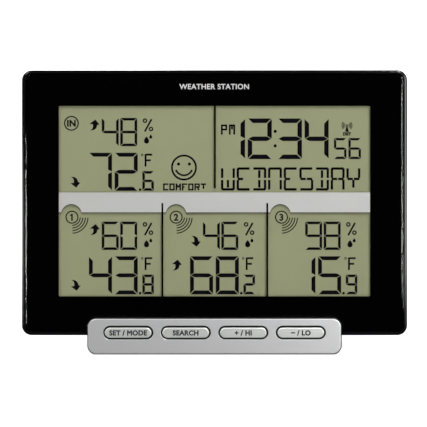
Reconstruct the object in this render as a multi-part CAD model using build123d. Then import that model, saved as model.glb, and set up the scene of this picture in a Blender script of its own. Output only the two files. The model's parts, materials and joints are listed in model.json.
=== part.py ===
from build123d import *

import os
from math import cos, radians, sin, tan

# A table-top home weather station: a glossy black display body with a full-face clear lens, a
# silver key pod below it, and a fold-out leg behind. Everything is drawn upright in a "body"
# system in millimetres: x to the right, y backwards from the face of the lens, z up from the
# lowest front edge of the pod. At the end each piece is leaned back and set on the table, with
# the origin at the middle of the rubber strip that the pod stands on.

# ---- Driving dimensions: outside -----------------------------------------------------------
BODY_W, BODY_H, BODY_R = 191.3, 131.6, 4.9
BODY_Z = 9.3  # underside of the black body
LEAN = 15.0  # degrees that the standing body leans back
SPLIT_Y = 13.0  # where the front and rear cases meet
TAPER_Y = 16.0  # the rear case narrows behind this depth
BACK_Y = 28.3
TAPER = 35.0  # degrees
WALL = 2.0
SHELL_R = 1.2  # rounding of outer moulded edges
BACK_R, CHIN_R, POD_EDGE_R, MOUTH_R = 2.2, 1.6, 1.0, 0.25

POD_W, POD_H, POD_R = 125.8, 18.2, 4.4
POD_Y = -2.0  # the pod stands proud of the lens
POD_WALL = 1.8
POD_GAP_CASE, POD_GAP_LENS, POD_GAP_MASK = 0.15, 0.3, 0.4  # room round the pod
CHIN_INSET = 0.5  # the rear case's base is this much smaller than the pod

# ---- Driving dimensions: lens, masks and display -------------------------------------------
LENS_INSET, LENS_T = 1.8, 2.0
RIM_W, RIM_Y = 1.6, 0.8  # rim of the front case round the lens
FILM_T = 0.12
MASK_Y = 2.02
BAND_Y = 2.15
WEB_Y, WEB_T = 2.28, 1.1  # wall of the front case that carries the lens
WINDOW_W, WINDOW_H, WINDOW_Z = 154.6, 94.8, 28.6
WINDOW_R = 0.6
WEB_MARGIN = 1.5  # the opening in the web is this much larger than the window
BAND_Z, BAND_H = 70.3, 9.9  # silver band across the window
NOTCH_X, NOTCH_R, NOTCH_DROP = (-71.1, -19.1, 32.7), 5.2, 1.1
DIVIDER_W = 0.9
UPPER_DIVIDER_X, UPPER_DIVIDER_Z = 0.2, 82.2
LOWER_DIVIDER_X, LOWER_DIVIDER_TOP = (-25.9, 26.2), 74.9

GLASS_W, GLASS_T = 160.0, 1.1
GLASS_Z, GLASS_TOP = 20.5, 126.5  # front glass, with its contact ledge
REAR_GLASS_Z = 27.5
POLARISER_Y, POLARISER_T = 3.42, 0.18
FRONT_GLASS_Y = 3.62
SEAL_T, SEAL_W = 0.12, 0.9  # liquid crystal gap and its seal
REFLECTOR_T = 0.24
ZEBRA_L, ZEBRA_W, ZEBRA_Z, ZEBRA_PLAY = 144.0, 2.6, 22.6, 0.2

# ---- Driving dimensions: keys ---------------------------------------------------------------
KEY_NAMES = ("set_mode", "search", "plus", "minus")
KEY_W, KEY_H, KEY_PITCH, KEY_Z = 23.4, 5.5, 28.4, 10.9
KEY_GAP = 0.6
KEY_PROUD = 0.8
KEY_TRAVEL = 0.9
FLANGE_Y, FLANGE_T, FLANGE_OUT = -0.1, 0.9, 1.3
DOME_TOP_Y, DOME_R, DOME_WEB = 0.95, 2.6, 0.5
PILL_R, PILL_T = 1.1, 0.5
MAT_W, MAT_Y, MAT_T, MAT_Z, MAT_TOP = 110.0, 3.0, 1.0, 5.4, 16.0
KEY_PCB_Y, KEY_PCB_T = 4.0, 1.6

RIBBON_X, RIBBON_W, RIBBON_T, RIBBON_BEND = -42.0, 10.0, 0.5, 0.9
RIBBON_LOW, RIBBON_BACK, RIBBON_TOP = 8.0, 12.4, 24.0

# ---- Driving dimensions: boards -------------------------------------------------------------
CARRIER_W, CARRIER_Z, CARRIER_TOP = 168.0, 18.7, 129.5
CARRIER_Y, CARRIER_WALL_Y, CARRIER_WALL_T = 3.6, 6.3, 1.5
PCB_Y, PCB_T = 9.0, 1.2
PCB_W, PCB_Z, PCB_TOP = 156.0, 18.9, 108.0

# ---- Driving dimensions: what the main board carries ------------------------------------------
BLOB_X, BLOB_Z, BLOB_R, BLOB_T = -52.0, 52.0, 7.0, 1.8
CRYSTAL_X, CRYSTAL_Z, CRYSTAL_R, CRYSTAL_L = -34.0, 47.0, 1.5, 8.0
CRYSTAL_LEAD_R, CRYSTAL_LEAD_L = 0.2, 3.0
CAPACITORS = ((-62.0, 3.15, 9.0), (-53.0, 2.5, 7.0))  # across, radius, height
CAPACITOR_Z = 84.0
RADIO_X, RADIO_Z, RADIO_W, RADIO_H, RADIO_T, RADIO_LIFT = 56.0, 92.0, 28.0, 18.0, 0.8, 2.0
RADIO_PINS, PIN_PITCH, RADIO_PIN_R = 5, 2.54, 0.4
SHIELD_X, SHIELD_Z, SHIELD_W, SHIELD_H, SHIELD_T, SHIELD_SKIN = 58.0, 93.0, 14.0, 12.0, 2.6, 0.3
AERIAL_R, AERIAL_BEND = 0.6, 2.2
SENSOR_X, SENSOR_Z, SENSOR_W, SENSOR_H, SENSOR_T = 64.0, 40.0, 9.0, 12.0, 4.5
SENSOR_SLOTS, SENSOR_PITCH = 4, 2.4
FERRITE_X, FERRITE_Y, FERRITE_Z, FERRITE_R, FERRITE_L = -47.0, 19.5, 122.5, 4.0, 60.0
COIL_R, COIL_L, CLIP_W, CLIP_H, CLIP_AT = 5.6, 20.0, 5.0, 11.0, 20.0
WIRE_R, WIRE_BEND, WIRE_Z = 0.65, 1.2, 74.0

# ---- Driving dimensions: battery bay, leg and hanging hole -----------------------------------
CELL_R, CELL_L, NUB_R, NUB_L = 7.25, 50.5, 2.7, 1.0
CELL_SHIFT = 2.2  # the spring's end pushes each cell this far along
SPRING_R, SPRING_STEP, SPRING_WIRE_R, SPRING_TURNS = 4.4, 0.7, 0.35, 4
PLATE_T, PLATE_SIDE = 0.4, 11.0
BAY_W, BAY_Z, BAY_TOP, BAY_Y = 57.4, 66.0, 111.4, 12.0
BAY_WALL, BAY_FLOOR = 2.0, 1.4
COVER_T = 1.6
COVER_LEDGE, COVER_GAP = 1.5, 0.2
COVER_Y = BACK_Y - COVER_T
LATCH_X, LATCH_SLIT_W, LATCH_L = 7.5, 0.9, 9.0
RIB_W, RIB_H, RIB_T, RIB_PITCH, RIBS = 9.0, 0.7, 0.35, 1.6, 4
TONGUE_X, TONGUE_W, TONGUE_T = 18.0, 5.6, 1.2

HINGE_Y, HINGE_Z = 26.3, 58.0
LEG_W, LEG_T = 40.0, 3.4
FOOT_ANGLE = 22.0  # degrees from the vertical of the open leg
FOOT_PAD_R, FOOT_PAD_L = 2.1, 24.0
LEG_RIM, LEG_RIB_X, LEG_RIB_W = 2.5, 6.5, 1.4
RECESS_W, RECESS_Y, RECESS_TOP, RECESS_WALL = 43.0, 23.8, 62.2, 1.8
PIN_R, PIN_CLEARANCE, PIN_REACH = 1.2, 0.06, 1.2

STRIP_L, STRIP_W, STRIP_T, STRIP_AT = 100.0, 8.0, 0.8, 8.0
KEYHOLE_Z, KEYHOLE_R, KEYHOLE_SLOT_R, KEYHOLE_RISE = 121.8, 3.75, 1.9, 4.5
KEYHOLE_DEPTH = 5.8  # room for a screw head behind the wall
SCOOP_R, SCOOP_OUT = 6.0, 4.3
VENT_X, VENT_Z, VENT_W, VENT_H, VENT_PITCH, VENTS = 64.0, 31.0, 18.0, 1.5, 3.2, 7
LABEL_X, LABEL_Z, LABEL_W, LABEL_H, LABEL_T = 64.0, 66.0, 34.0, 16.0, 0.12

CASE_SCREW_AT = tuple((x, z) for x in (-87.4, 87.4) for z in (24.0, 126.4))
CHIN_SCREW_AT = ((-58.4, 11.0), (58.4, 11.0))
SCREW_AT = CASE_SCREW_AT + CHIN_SCREW_AT
SCREW_R, SCREW_HEAD_R, SCREW_SEAT_Y, SCREW_REACH = 1.2, 2.4, 18.0, 9.0
CARRIER_SCREW_AT = tuple((x, z) for x in (-88.0, 88.0) for z in (32.0, 118.0))
PCB_SCREW_AT = tuple((x, z) for x in (-75.5, 75.5) for z in (21.5, 64.0, 104.0))
KEY_SCREW_AT = tuple((x, 14.4) for x in (-KEY_PITCH, 0.0, KEY_PITCH))

# ---- Worked-out places ----------------------------------------------------------------------
SLOPE = tan(radians(LEAN))
BODY_MID = BODY_Z + BODY_H / 2
KEY_X = tuple((i - 1.5) * KEY_PITCH for i in range(4))
SEAL_Y = FRONT_GLASS_Y + GLASS_T
REAR_GLASS_Y = SEAL_Y + SEAL_T
REFLECTOR_Y = REAR_GLASS_Y + GLASS_T + 0.02
PCB_BACK = PCB_Y + PCB_T
BAY_MID = (BAY_Z + BAY_TOP) / 2
CELL_Y = BAY_Y + 0.1 + CELL_R
CELL_PITCH = (BAY_TOP - BAY_Z) / 3
ORIGIN_Y = POD_Y + STRIP_AT * cos(radians(LEAN)) + STRIP_T * sin(radians(LEAN))
ORIGIN_Z = STRIP_AT * sin(radians(LEAN)) - STRIP_T * cos(radians(LEAN))
HINGE_HEIGHT = (HINGE_Z - ORIGIN_Z) * cos(radians(LEAN)) - (HINGE_Y - ORIGIN_Y) * sin(radians(LEAN))
LEG_L = (HINGE_HEIGHT - FOOT_PAD_R) / cos(radians(FOOT_ANGLE))  # hinge to middle of the foot
LEG_OPEN = LEAN + FOOT_ANGLE


# ---- Drawing helpers ------------------------------------------------------------------------
def slab(sketch, front, back):
    """An x-z sketch, seen from the front, as a solid between two depths."""
    return extrude(Plane.XZ.offset(-front) * sketch, amount=front - back)


def rounded(width, height, radius, x=0.0, z=0.0):
    """A rounded rectangle round a middle, or a plain one with no radius."""
    shape = RectangleRounded(width, height, radius) if radius > 0 else Rectangle(width, height)
    return Pos(x, z) * shape


def between(width, low, high, radius=0.0):
    """A rectangle across the middle, from one height to another."""
    return rounded(width, high - low, radius, 0, (low + high) / 2)


def rod_y(radius, front, back, x, z):
    """A round rod along y."""
    return slab(Pos(x, z) * Circle(radius), front, back)


def rod_x(radius, length, x, y, z):
    """A round rod along x, round its middle."""
    return Pos(x, y, z) * Rot(0, 90, 0) * Cylinder(radius, length)


def block(width, y0, y1, z0, z1, x=0.0):
    """A box with its middle at x."""
    return Pos(x, (y0 + y1) / 2, (z0 + z1) / 2) * Box(width, y1 - y0, z1 - z0)


def group(solids):
    """Separate solids in one node."""
    return Compound(list(solids))


def body_outline(inset):
    return rounded(BODY_W - 2 * inset, BODY_H - 2 * inset, max(BODY_R - inset, 0.8), 0, BODY_MID)


def pod_outline(inset):
    return rounded(POD_W - 2 * inset, POD_H - 2 * inset, POD_R - inset, 0, POD_H / 2)


def under_table(lift=0.0):
    """All that lies below the base plane, raised by lift square to that plane."""
    side, depth = 400.0, 100.0
    plane_at = Pos(0, POD_Y, 0) * Rot(LEAN, 0, 0) * Pos(0, 0, lift - depth / 2)
    return plane_at * Box(side, side, depth)


def bored_screw(radius, head_r, head_t, seat, tip, x, z):
    """A cross-head screw along y, its head behind the seat and its tip in front."""
    head = rod_y(head_r, seat, seat + head_t, x, z)
    rim = head.edges().group_by(Axis.Y)[-1]
    head = fillet(rim, head_t * 0.35)
    slot_w, slot_l, slot_d = head_r * 0.32, head_r * 1.2, head_t * 0.55
    for width, height in ((slot_l, slot_w), (slot_w, slot_l)):
        head -= slab(rounded(width, height, 0, x, z), seat + head_t - slot_d, seat + head_t + 1)
    shank = rod_y(radius, tip, seat, x, z)
    return head + chamfer(shank.edges().group_by(Axis.Y)[0], radius * 0.4)


# ---- Front: case, lens and printed films ------------------------------------------------------
def front_case():
    """Gloss black frame: outer wall, lens pocket, display opening and bosses."""
    case = slab(body_outline(0), RIM_Y, SPLIT_Y)
    case = fillet(case.edges().group_by(Axis.Y)[0], SHELL_R)
    case -= slab(body_outline(RIM_W), RIM_Y - 1, WEB_Y)
    case -= slab(body_outline(WALL), WEB_Y + WEB_T, SPLIT_Y + 1)
    low, high = WINDOW_Z - WEB_MARGIN, WINDOW_Z + WINDOW_H + WEB_MARGIN
    case -= slab(between(WINDOW_W + 2 * WEB_MARGIN, low, high, 1.0), 0, SPLIT_Y)
    for x, z in CASE_SCREW_AT:
        case += rod_y(3.2, WEB_Y, SPLIT_Y, x, z)
    for x, z in CARRIER_SCREW_AT:
        case += rod_y(2.4, WEB_Y, CARRIER_WALL_Y, x, z)
    case -= slab(pod_outline(-POD_GAP_CASE), RIM_Y - 1, SPLIT_Y + 1)
    for x, z in CASE_SCREW_AT:
        case -= rod_y(SCREW_R + 0.05, WEB_Y + WEB_T, SPLIT_Y + 1, x, z)
    for x, z in CARRIER_SCREW_AT:
        case -= rod_y(0.9, WEB_Y + 0.6, SPLIT_Y, x, z)
    return case


def front_lens():
    """Clear acrylic panel over the whole face, notched round the pod."""
    lens = slab(body_outline(LENS_INSET), 0, LENS_T)
    lens -= slab(pod_outline(-POD_GAP_LENS), -1, LENS_T + 1)
    return fillet(lens.edges().group_by(Axis.Y)[0], SHELL_R)


def lens_mask():
    """Black print behind the lens, with the window and the three dividers."""
    mask = slab(body_outline(LENS_INSET + 0.3), MASK_Y, MASK_Y + FILM_T)
    mask -= slab(pod_outline(-POD_GAP_MASK), 0, SPLIT_Y)
    window = between(WINDOW_W, WINDOW_Z, WINDOW_Z + WINDOW_H, WINDOW_R)
    top = WINDOW_Z + WINDOW_H + 1
    window -= Pos(UPPER_DIVIDER_X) * between(DIVIDER_W, UPPER_DIVIDER_Z, top)
    for x in LOWER_DIVIDER_X:
        window -= Pos(x) * between(DIVIDER_W, WINDOW_Z - 1, LOWER_DIVIDER_TOP)
    return mask - slab(window, 0, SPLIT_Y)


def silver_band():
    """Silver print across the window, with a round notch for each sensor number."""
    band = between(WINDOW_W + 1, BAND_Z, BAND_Z + BAND_H)
    for x in NOTCH_X:
        band -= Pos(x, BAND_Z - NOTCH_DROP) * Circle(NOTCH_R)
    return slab(band, BAND_Y, BAND_Y + FILM_T)


# ---- Front: display cell ----------------------------------------------------------------------
def front_polariser():
    return slab(between(GLASS_W - 1, REAR_GLASS_Z, GLASS_TOP - 0.5), POLARISER_Y, POLARISER_Y + POLARISER_T)


def front_glass():
    return slab(between(GLASS_W, GLASS_Z, GLASS_TOP), FRONT_GLASS_Y, SEAL_Y)


def cell_seal():
    seal = between(GLASS_W, REAR_GLASS_Z, GLASS_TOP)
    seal -= between(GLASS_W - 2 * SEAL_W, REAR_GLASS_Z + SEAL_W, GLASS_TOP - SEAL_W, 0.5)
    return slab(seal, SEAL_Y, REAR_GLASS_Y)


def rear_glass():
    return slab(between(GLASS_W, REAR_GLASS_Z, GLASS_TOP), REAR_GLASS_Y, REAR_GLASS_Y + GLASS_T)


def reflector():
    """Rear polariser with the grey-green reflector behind it."""
    return slab(
        between(GLASS_W - 0.6, REAR_GLASS_Z + 0.3, GLASS_TOP - 0.3), REFLECTOR_Y, REFLECTOR_Y + REFLECTOR_T
    )


def zebra_strip():
    """Elastomer strip that joins the ledge of the glass to the main board."""
    strip = slab(rounded(ZEBRA_L, ZEBRA_W, 0, 0, ZEBRA_Z), SEAL_Y, PCB_Y)
    return chamfer(strip.edges().filter_by(Axis.X), 0.3)


def display_carrier():
    """White frame that holds the glass against the case and takes the main board."""
    carrier = slab(between(CARRIER_W, CARRIER_Z, CARRIER_TOP, 2.0), CARRIER_Y, PCB_Y)
    carrier -= slab(between(GLASS_W + 0.4, GLASS_Z - 0.2, GLASS_TOP + 0.2), 0, CARRIER_WALL_Y)
    back = CARRIER_WALL_Y + CARRIER_WALL_T
    pocket = between(GLASS_W - 6, ZEBRA_Z + 5, CARRIER_TOP - 6)
    carrier -= slab(pocket, back, PCB_Y + 1)
    slot = rounded(ZEBRA_L + 2 * ZEBRA_PLAY, ZEBRA_W + 2 * ZEBRA_PLAY, 0, 0, ZEBRA_Z)
    carrier -= slab(slot, 0, PCB_Y + 1)
    for x, z in PCB_SCREW_AT:
        carrier += rod_y(2.2, CARRIER_WALL_Y, PCB_Y, x, z)
        carrier -= rod_y(0.85, CARRIER_WALL_Y + 0.4, PCB_Y + 1, x, z)
    for x, z in CARRIER_SCREW_AT:
        ear = rounded(10.0, 8.0, 2.0, x * 0.975, z)
        carrier += slab(ear, CARRIER_WALL_Y, back)
        carrier -= rod_y(1.1, CARRIER_Y, PCB_Y, x, z)
    return carrier


def carrier_screws():
    seat = CARRIER_WALL_Y + CARRIER_WALL_T
    return group(bored_screw(0.85, 1.8, 1.3, seat, WEB_Y + 1.2, x, z) for x, z in CARRIER_SCREW_AT)


# ---- Key pod ----------------------------------------------------------------------------------
def key_pod():
    """Silver shell with four key openings. Its underside is cut to the table."""
    pod = slab(pod_outline(0), POD_Y, SPLIT_Y)
    pod = fillet(pod.edges().group_by(Axis.Y)[0], POD_EDGE_R) - under_table()
    pod -= slab(pod_outline(POD_WALL), POD_Y + POD_WALL, SPLIT_Y + 1) - under_table(POD_WALL)
    for x in KEY_X:
        opening = Pos(x, KEY_Z) * SlotOverall(KEY_W + 2 * KEY_GAP, KEY_H + 2 * KEY_GAP)
        pod -= slab(opening, POD_Y - 1, SPLIT_Y)
    mouths = [
        edge
        for edge in pod.edges().group_by(Axis.Y)[0]
        if abs(edge.center().Z - KEY_Z) < KEY_H and abs(edge.center().X) < POD_W / 2 - 4
    ]
    pod = fillet(mouths, MOUTH_R)
    posts = [rod_y(1.8, POD_Y + POD_WALL - 0.1, KEY_PCB_Y, x, z) for x, z in KEY_SCREW_AT]
    posts += [rod_y(2.5, POD_Y + POD_WALL - 0.1, SPLIT_Y, x, z) for x, z in CHIN_SCREW_AT]
    for post in posts:
        pod += post
    for x, z in KEY_SCREW_AT:
        pod -= rod_y(0.8, POD_Y + POD_WALL + 0.6, KEY_PCB_Y + 1, x, z)
    for x, z in CHIN_SCREW_AT:
        pod -= rod_y(SCREW_R + 0.05, POD_Y + POD_WALL + 2, SPLIT_Y + 1, x, z)
    return pod - block(RIBBON_W + 2, 9.0, SPLIT_Y + 1, POD_H - POD_WALL - 1, POD_H + 1, RIBBON_X)


def key_cap(x):
    """Pill-shaped key with a crowned face and a hidden flange that keeps it in the pod."""
    front = POD_Y - KEY_PROUD
    cap = slab(Pos(x, KEY_Z) * SlotOverall(KEY_W, KEY_H), front, FLANGE_Y)
    cap = fillet(cap.edges().group_by(Axis.Y)[0], 0.75)
    flange_w, flange_h = KEY_W + 2 * FLANGE_OUT, KEY_H + 2 * FLANGE_OUT
    return cap + slab(Pos(x, KEY_Z) * SlotOverall(flange_w, flange_h), FLANGE_Y, FLANGE_Y + FLANGE_T)


def key_dome(x):
    """Hollow silicone dome under a key, with its plunger and foot ring."""
    profile = make_face(
        Polyline(
            (0, DOME_TOP_Y),
            (DOME_R * 0.6, DOME_TOP_Y),
            (DOME_R, MAT_Y - 0.1),
            (DOME_R + 0.4, MAT_Y - 0.1),
            (DOME_R + 0.4, MAT_Y + MAT_T),
            (DOME_R - DOME_WEB, MAT_Y + MAT_T),
            (DOME_R * 0.6 - 0.1, DOME_TOP_Y + DOME_WEB * 2.4),
            (0, DOME_TOP_Y + DOME_WEB * 2.4),
            close=True,
        )
    )
    return Pos(x, 0, KEY_Z) * revolve(profile, Axis.Y, 360)


def keypad_mat():
    """Silicone sheet round the four domes."""
    sheet = between(MAT_W, MAT_Z, MAT_TOP, 1.0)
    for x in KEY_X:
        sheet -= Pos(x, KEY_Z) * Circle(DOME_R + 0.45)
    for x, z in KEY_SCREW_AT:
        sheet -= Pos(x, z) * Circle(2.0)
    return slab(sheet, MAT_Y, MAT_Y + MAT_T)


def contact_pills():
    """Carbon pills inside the domes."""
    front = DOME_TOP_Y + DOME_WEB * 2.4
    return group(rod_y(PILL_R, front, front + PILL_T, x, KEY_Z) for x in KEY_X)


def key_board():
    board = between(MAT_W, MAT_Z - 0.2, MAT_TOP + 0.2, 0.8)
    for x, z in KEY_SCREW_AT:
        board -= Pos(x, z) * Circle(1.0)
    return slab(board, KEY_PCB_Y, KEY_PCB_Y + KEY_PCB_T)


def key_board_screws():
    seat = KEY_PCB_Y + KEY_PCB_T
    return group(bored_screw(0.75, 1.6, 1.2, seat, 0.8, x, z) for x, z in KEY_SCREW_AT)


def ribbon_cable():
    """Flat cable from the key board up to the main board, with a bend at each end."""
    start = KEY_PCB_Y + KEY_PCB_T
    turn = start + 2.2
    low = ((start, RIBBON_LOW), (turn, RIBBON_LOW), (turn, RIBBON_LOW + 5))
    high = ((RIBBON_BACK, RIBBON_TOP - 6.5), (RIBBON_BACK, RIBBON_TOP), (PCB_BACK, RIBBON_TOP))
    ribbon = trace(FilletPolyline(*low, *high, radius=RIBBON_BEND), RIBBON_T)
    return Pos(RIBBON_X, 0, 0) * extrude(Plane.YZ * ribbon, amount=RIBBON_W / 2, both=True)


def foot_strip():
    """Rubber strip under the pod that meets the table."""
    strip = Box(STRIP_L, STRIP_W, STRIP_T)
    strip = fillet(strip.edges().filter_by(Axis.Z), STRIP_W / 2 - 0.01)
    strip = fillet(strip.edges().group_by(Axis.Z)[0], 0.2)
    return Pos(0, POD_Y, 0) * Rot(LEAN, 0, 0) * Pos(0, STRIP_AT, -STRIP_T / 2) * strip


# ---- Main board and what is on it --------------------------------------------------------------
def main_board():
    board = between(PCB_W, PCB_Z, PCB_TOP, 1.5)
    for x, z in PCB_SCREW_AT:
        board -= Pos(x, z) * Circle(1.1)
    return slab(board, PCB_Y, PCB_BACK)


def main_board_screws():
    return group(bored_screw(0.8, 1.8, 1.3, PCB_BACK, PCB_Y - 2.0, x, z) for x, z in PCB_SCREW_AT)


def controller_blob():
    """Black resin over the bonded controller chip."""
    blob = rod_y(BLOB_R, PCB_BACK, PCB_BACK + BLOB_T, BLOB_X, BLOB_Z)
    return fillet(blob.edges().group_by(Axis.Y)[-1], BLOB_T - 0.1)


def quartz_crystal():
    y = PCB_BACK + CRYSTAL_R
    can = fillet(rod_x(CRYSTAL_R, CRYSTAL_L, CRYSTAL_X, y, CRYSTAL_Z).edges(), 0.3)
    lead_x = CRYSTAL_X - (CRYSTAL_L + CRYSTAL_LEAD_L) / 2 + 0.1
    for side in (-0.6, 0.6):
        can += rod_x(CRYSTAL_LEAD_R, CRYSTAL_LEAD_L, lead_x, y, CRYSTAL_Z + side)
    return can


def capacitors():
    """Two electrolytic capacitors standing on the board."""
    cans = []
    for x, radius, height in CAPACITORS:
        can = rod_y(radius, PCB_BACK, PCB_BACK + height, x, CAPACITOR_Z)
        cans.append(fillet(can.edges().group_by(Axis.Y)[-1], 0.5))
    return group(cans)


def radio_board():
    front = PCB_BACK + RADIO_LIFT
    board = slab(rounded(RADIO_W, RADIO_H, 0.8, RADIO_X, RADIO_Z), front, front + RADIO_T)
    first_x, pin_z = RADIO_X - RADIO_W / 2 + 2.5, RADIO_Z - RADIO_H / 2 + 2
    for i in range(RADIO_PINS):
        board += rod_y(RADIO_PIN_R, PCB_BACK, front, first_x + PIN_PITCH * i, pin_z)
    return board


def radio_shield():
    top = PCB_BACK + RADIO_LIFT + RADIO_T
    can = slab(rounded(SHIELD_W, SHIELD_H, 0.6, SHIELD_X, SHIELD_Z), top, top + SHIELD_T)
    can = fillet(can.edges().group_by(Axis.Y)[-1], 0.4)
    inside = rounded(SHIELD_W - 2 * SHIELD_SKIN, SHIELD_H - 2 * SHIELD_SKIN, 0.4, SHIELD_X, SHIELD_Z)
    return can - slab(inside, top - 1, top + SHIELD_T - SHIELD_SKIN)


def radio_aerial():
    """Quarter-wave wire aerial, up from the radio board and along the top of the case."""
    start = PCB_BACK + RADIO_LIFT + RADIO_T
    up = ((68, start, 96), (68, 17.0, 96), (70, 17.0, 108))
    along = ((76, 18.0, 122), (66, 18.0, 127.5), (20, 18.0, 128.0))
    path = FilletPolyline(*up, *along, radius=AERIAL_BEND)
    return sweep(Plane(path @ 0, z_dir=path % 0) * Circle(AERIAL_R), path=path)


def humidity_sensor():
    """Slotted plastic cell of the room humidity and temperature sensor."""
    top = PCB_BACK + SENSOR_T
    cell = slab(rounded(SENSOR_W, SENSOR_H, 0.8, SENSOR_X, SENSOR_Z), PCB_BACK, top)
    cell = fillet(cell.edges().group_by(Axis.Y)[-1], 0.6)
    for i in range(SENSOR_SLOTS):
        z = SENSOR_Z + (i - (SENSOR_SLOTS - 1) / 2) * SENSOR_PITCH
        cell -= slab(rounded(SENSOR_W - 3, 0.9, 0.3, SENSOR_X, z), top - 0.9, top + 1)
    return cell


def ferrite_rod():
    rod = rod_x(FERRITE_R, FERRITE_L, FERRITE_X, FERRITE_Y, FERRITE_Z)
    return chamfer(rod.edges(), 0.4)


def aerial_coil():
    """Copper winding on the ferrite rod of the time receiver."""
    coil = rod_x(COIL_R, COIL_L, FERRITE_X, FERRITE_Y, FERRITE_Z)
    coil = fillet(coil.edges(), 0.6)
    return coil - rod_x(FERRITE_R + 0.05, COIL_L + 10, FERRITE_X, FERRITE_Y, FERRITE_Z)


def aerial_clips():
    """Two cradles glued inside the rear case that hold the ferrite rod."""
    clips = []
    low, high = FERRITE_Z - CLIP_H / 2, FERRITE_Z + CLIP_H / 2
    for x in (FERRITE_X - CLIP_AT, FERRITE_X + CLIP_AT):
        clip = block(CLIP_W, FERRITE_Y - 3, BACK_Y - WALL, low, high, x)
        clip -= rod_x(FERRITE_R + 0.1, 2 * CLIP_W, x, FERRITE_Y, FERRITE_Z)
        mouth = block(2 * CLIP_W, FERRITE_Y - 10, FERRITE_Y - 1.5, FERRITE_Z - 3, FERRITE_Z + 3, x)
        clips.append(clip - mouth)
    return group(clips)


def battery_wire(side):
    """Insulated lead from a contact of the battery bay to the main board."""
    wall = side * (BAY_W / 2 + BAY_WALL)
    out, far = wall + side * 4, wall + side * 9
    over = ((wall, 19.0, WIRE_Z), (out, 19.0, WIRE_Z), (far, 17.0, WIRE_Z + 5))
    down = ((far, 14.0, WIRE_Z - 4), (far, PCB_BACK, WIRE_Z - 4))
    path = FilletPolyline(*over, *down, radius=WIRE_BEND)
    return sweep(Plane(path @ 0, z_dir=path % 0) * Circle(WIRE_R), path=path)


# ---- Rear case --------------------------------------------------------------------------------
def rear_solid(inset, back):
    """Outer shape of the rear case, or with an inset its inside."""
    straight = slab(body_outline(inset), SPLIT_Y, TAPER_Y)
    face = Plane((0, TAPER_Y, 0), x_dir=(-1, 0, 0), z_dir=(0, 1, 0))
    tapered = extrude(face * body_outline(inset), amount=back - TAPER_Y, taper=TAPER)
    return straight + tapered


def chin_solid(inset, back):
    """Base behind the pod, cut to the table."""
    edge = CHIN_INSET + inset
    height = POD_H + 12 - inset
    outline = rounded(POD_W - 2 * edge, height, POD_R, 0, edge + height / 2)
    return slab(outline, SPLIT_Y, back) - under_table(0.2 + inset)


def rear_outside():
    body = rear_solid(0, BACK_Y)
    body = fillet(body.edges().group_by(Axis.Y)[-1], BACK_R)
    chin = chin_solid(0, BACK_Y)
    chin = fillet(chin.edges().group_by(Axis.Y)[-1], CHIN_R)
    return body + chin


def vent_slots():
    """Two panels of slots that let room air reach the sensor."""
    slots = []
    for x in (-VENT_X, VENT_X):
        for i in range(VENTS):
            slot = Pos(x, VENT_Z + VENT_PITCH * i) * SlotOverall(VENT_W, VENT_H)
            slots.append(slab(slot, BACK_Y - 5, BACK_Y + 1))
    return slots


def keyhole_slot(half_width, front, back):
    """Upright slot over the hanging hole."""
    slot = Rot(0, 0, 90) * SlotCenterToCenter(KEYHOLE_RISE, 2 * half_width)
    return slab(Pos(0, KEYHOLE_Z + KEYHOLE_RISE / 2) * slot, front, back)


def rear_case():
    """Matt black back: shell, base, battery bay, leg recess, hanging hole, vents and screw wells."""
    outside = rear_outside()
    case = outside - rear_solid(WALL, BACK_Y - WALL) - chin_solid(WALL, BACK_Y - WALL)
    bay_out = BAY_W + 2 * BAY_WALL
    case += block(bay_out, BAY_Y - BAY_FLOOR, BACK_Y - 0.5, BAY_Z - BAY_WALL, BAY_TOP + BAY_WALL)
    recess_w = RECESS_W + 2 * RECESS_WALL
    recess = block(recess_w, RECESS_Y - RECESS_WALL, BACK_Y, -5, RECESS_TOP + RECESS_WALL)
    case += recess & outside
    inner_back = BACK_Y - WALL
    case += keyhole_slot(KEYHOLE_R + 1.6, inner_back - KEYHOLE_DEPTH - 1.2, inner_back + 0.5)
    for x, z in SCREW_AT:
        case += rod_y(4.3, SPLIT_Y, BACK_Y, x, z) & outside
    # Hollows
    case -= block(BAY_W, BAY_Y, BACK_Y + 1, BAY_Z, BAY_TOP)
    seat_w = BAY_W + 2 * COVER_LEDGE
    case -= slab(between(seat_w, BAY_Z - COVER_LEDGE, BAY_TOP + COVER_LEDGE, 2.0), COVER_Y, BACK_Y + 1)
    case -= block(RECESS_W, RECESS_Y, BACK_Y + 1, -5, RECESS_TOP)
    case -= keyhole_slot(KEYHOLE_R + 0.4, inner_back - KEYHOLE_DEPTH, inner_back)
    case -= rod_y(KEYHOLE_R, inner_back - 1, BACK_Y + 1, 0, KEYHOLE_Z)
    case -= keyhole_slot(KEYHOLE_SLOT_R, inner_back - 1, BACK_Y + 1)
    for x, z in SCREW_AT:
        case -= rod_y(3.0, SCREW_SEAT_Y, BACK_Y + 1, x, z)
        case -= rod_y(SCREW_R + 0.1, SPLIT_Y - 1, SCREW_SEAT_Y + 1, x, z)
    case -= rod_x(PIN_R + PIN_CLEARANCE, RECESS_W + 2 * PIN_REACH + 0.6, 0, HINGE_Y, HINGE_Z)
    for slot in vent_slots():
        case -= slot
    # Finger scoop over the latch and pockets for the cover's tongues
    case -= Pos(0, BACK_Y + SCOOP_OUT, BAY_TOP + COVER_LEDGE - 0.9) * Sphere(SCOOP_R)
    low = BAY_Z - COVER_LEDGE - 0.9
    for x in (-TONGUE_X, TONGUE_X):
        case -= block(TONGUE_W + 0.8, COVER_Y - TONGUE_T - 0.4, BACK_Y + 1, low, BAY_Z, x)
    return case


def case_screws():
    tip = SCREW_SEAT_Y - SCREW_REACH
    return group(bored_screw(SCREW_R, SCREW_HEAD_R, 1.8, SCREW_SEAT_Y, tip, x, z) for x, z in SCREW_AT)


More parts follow.
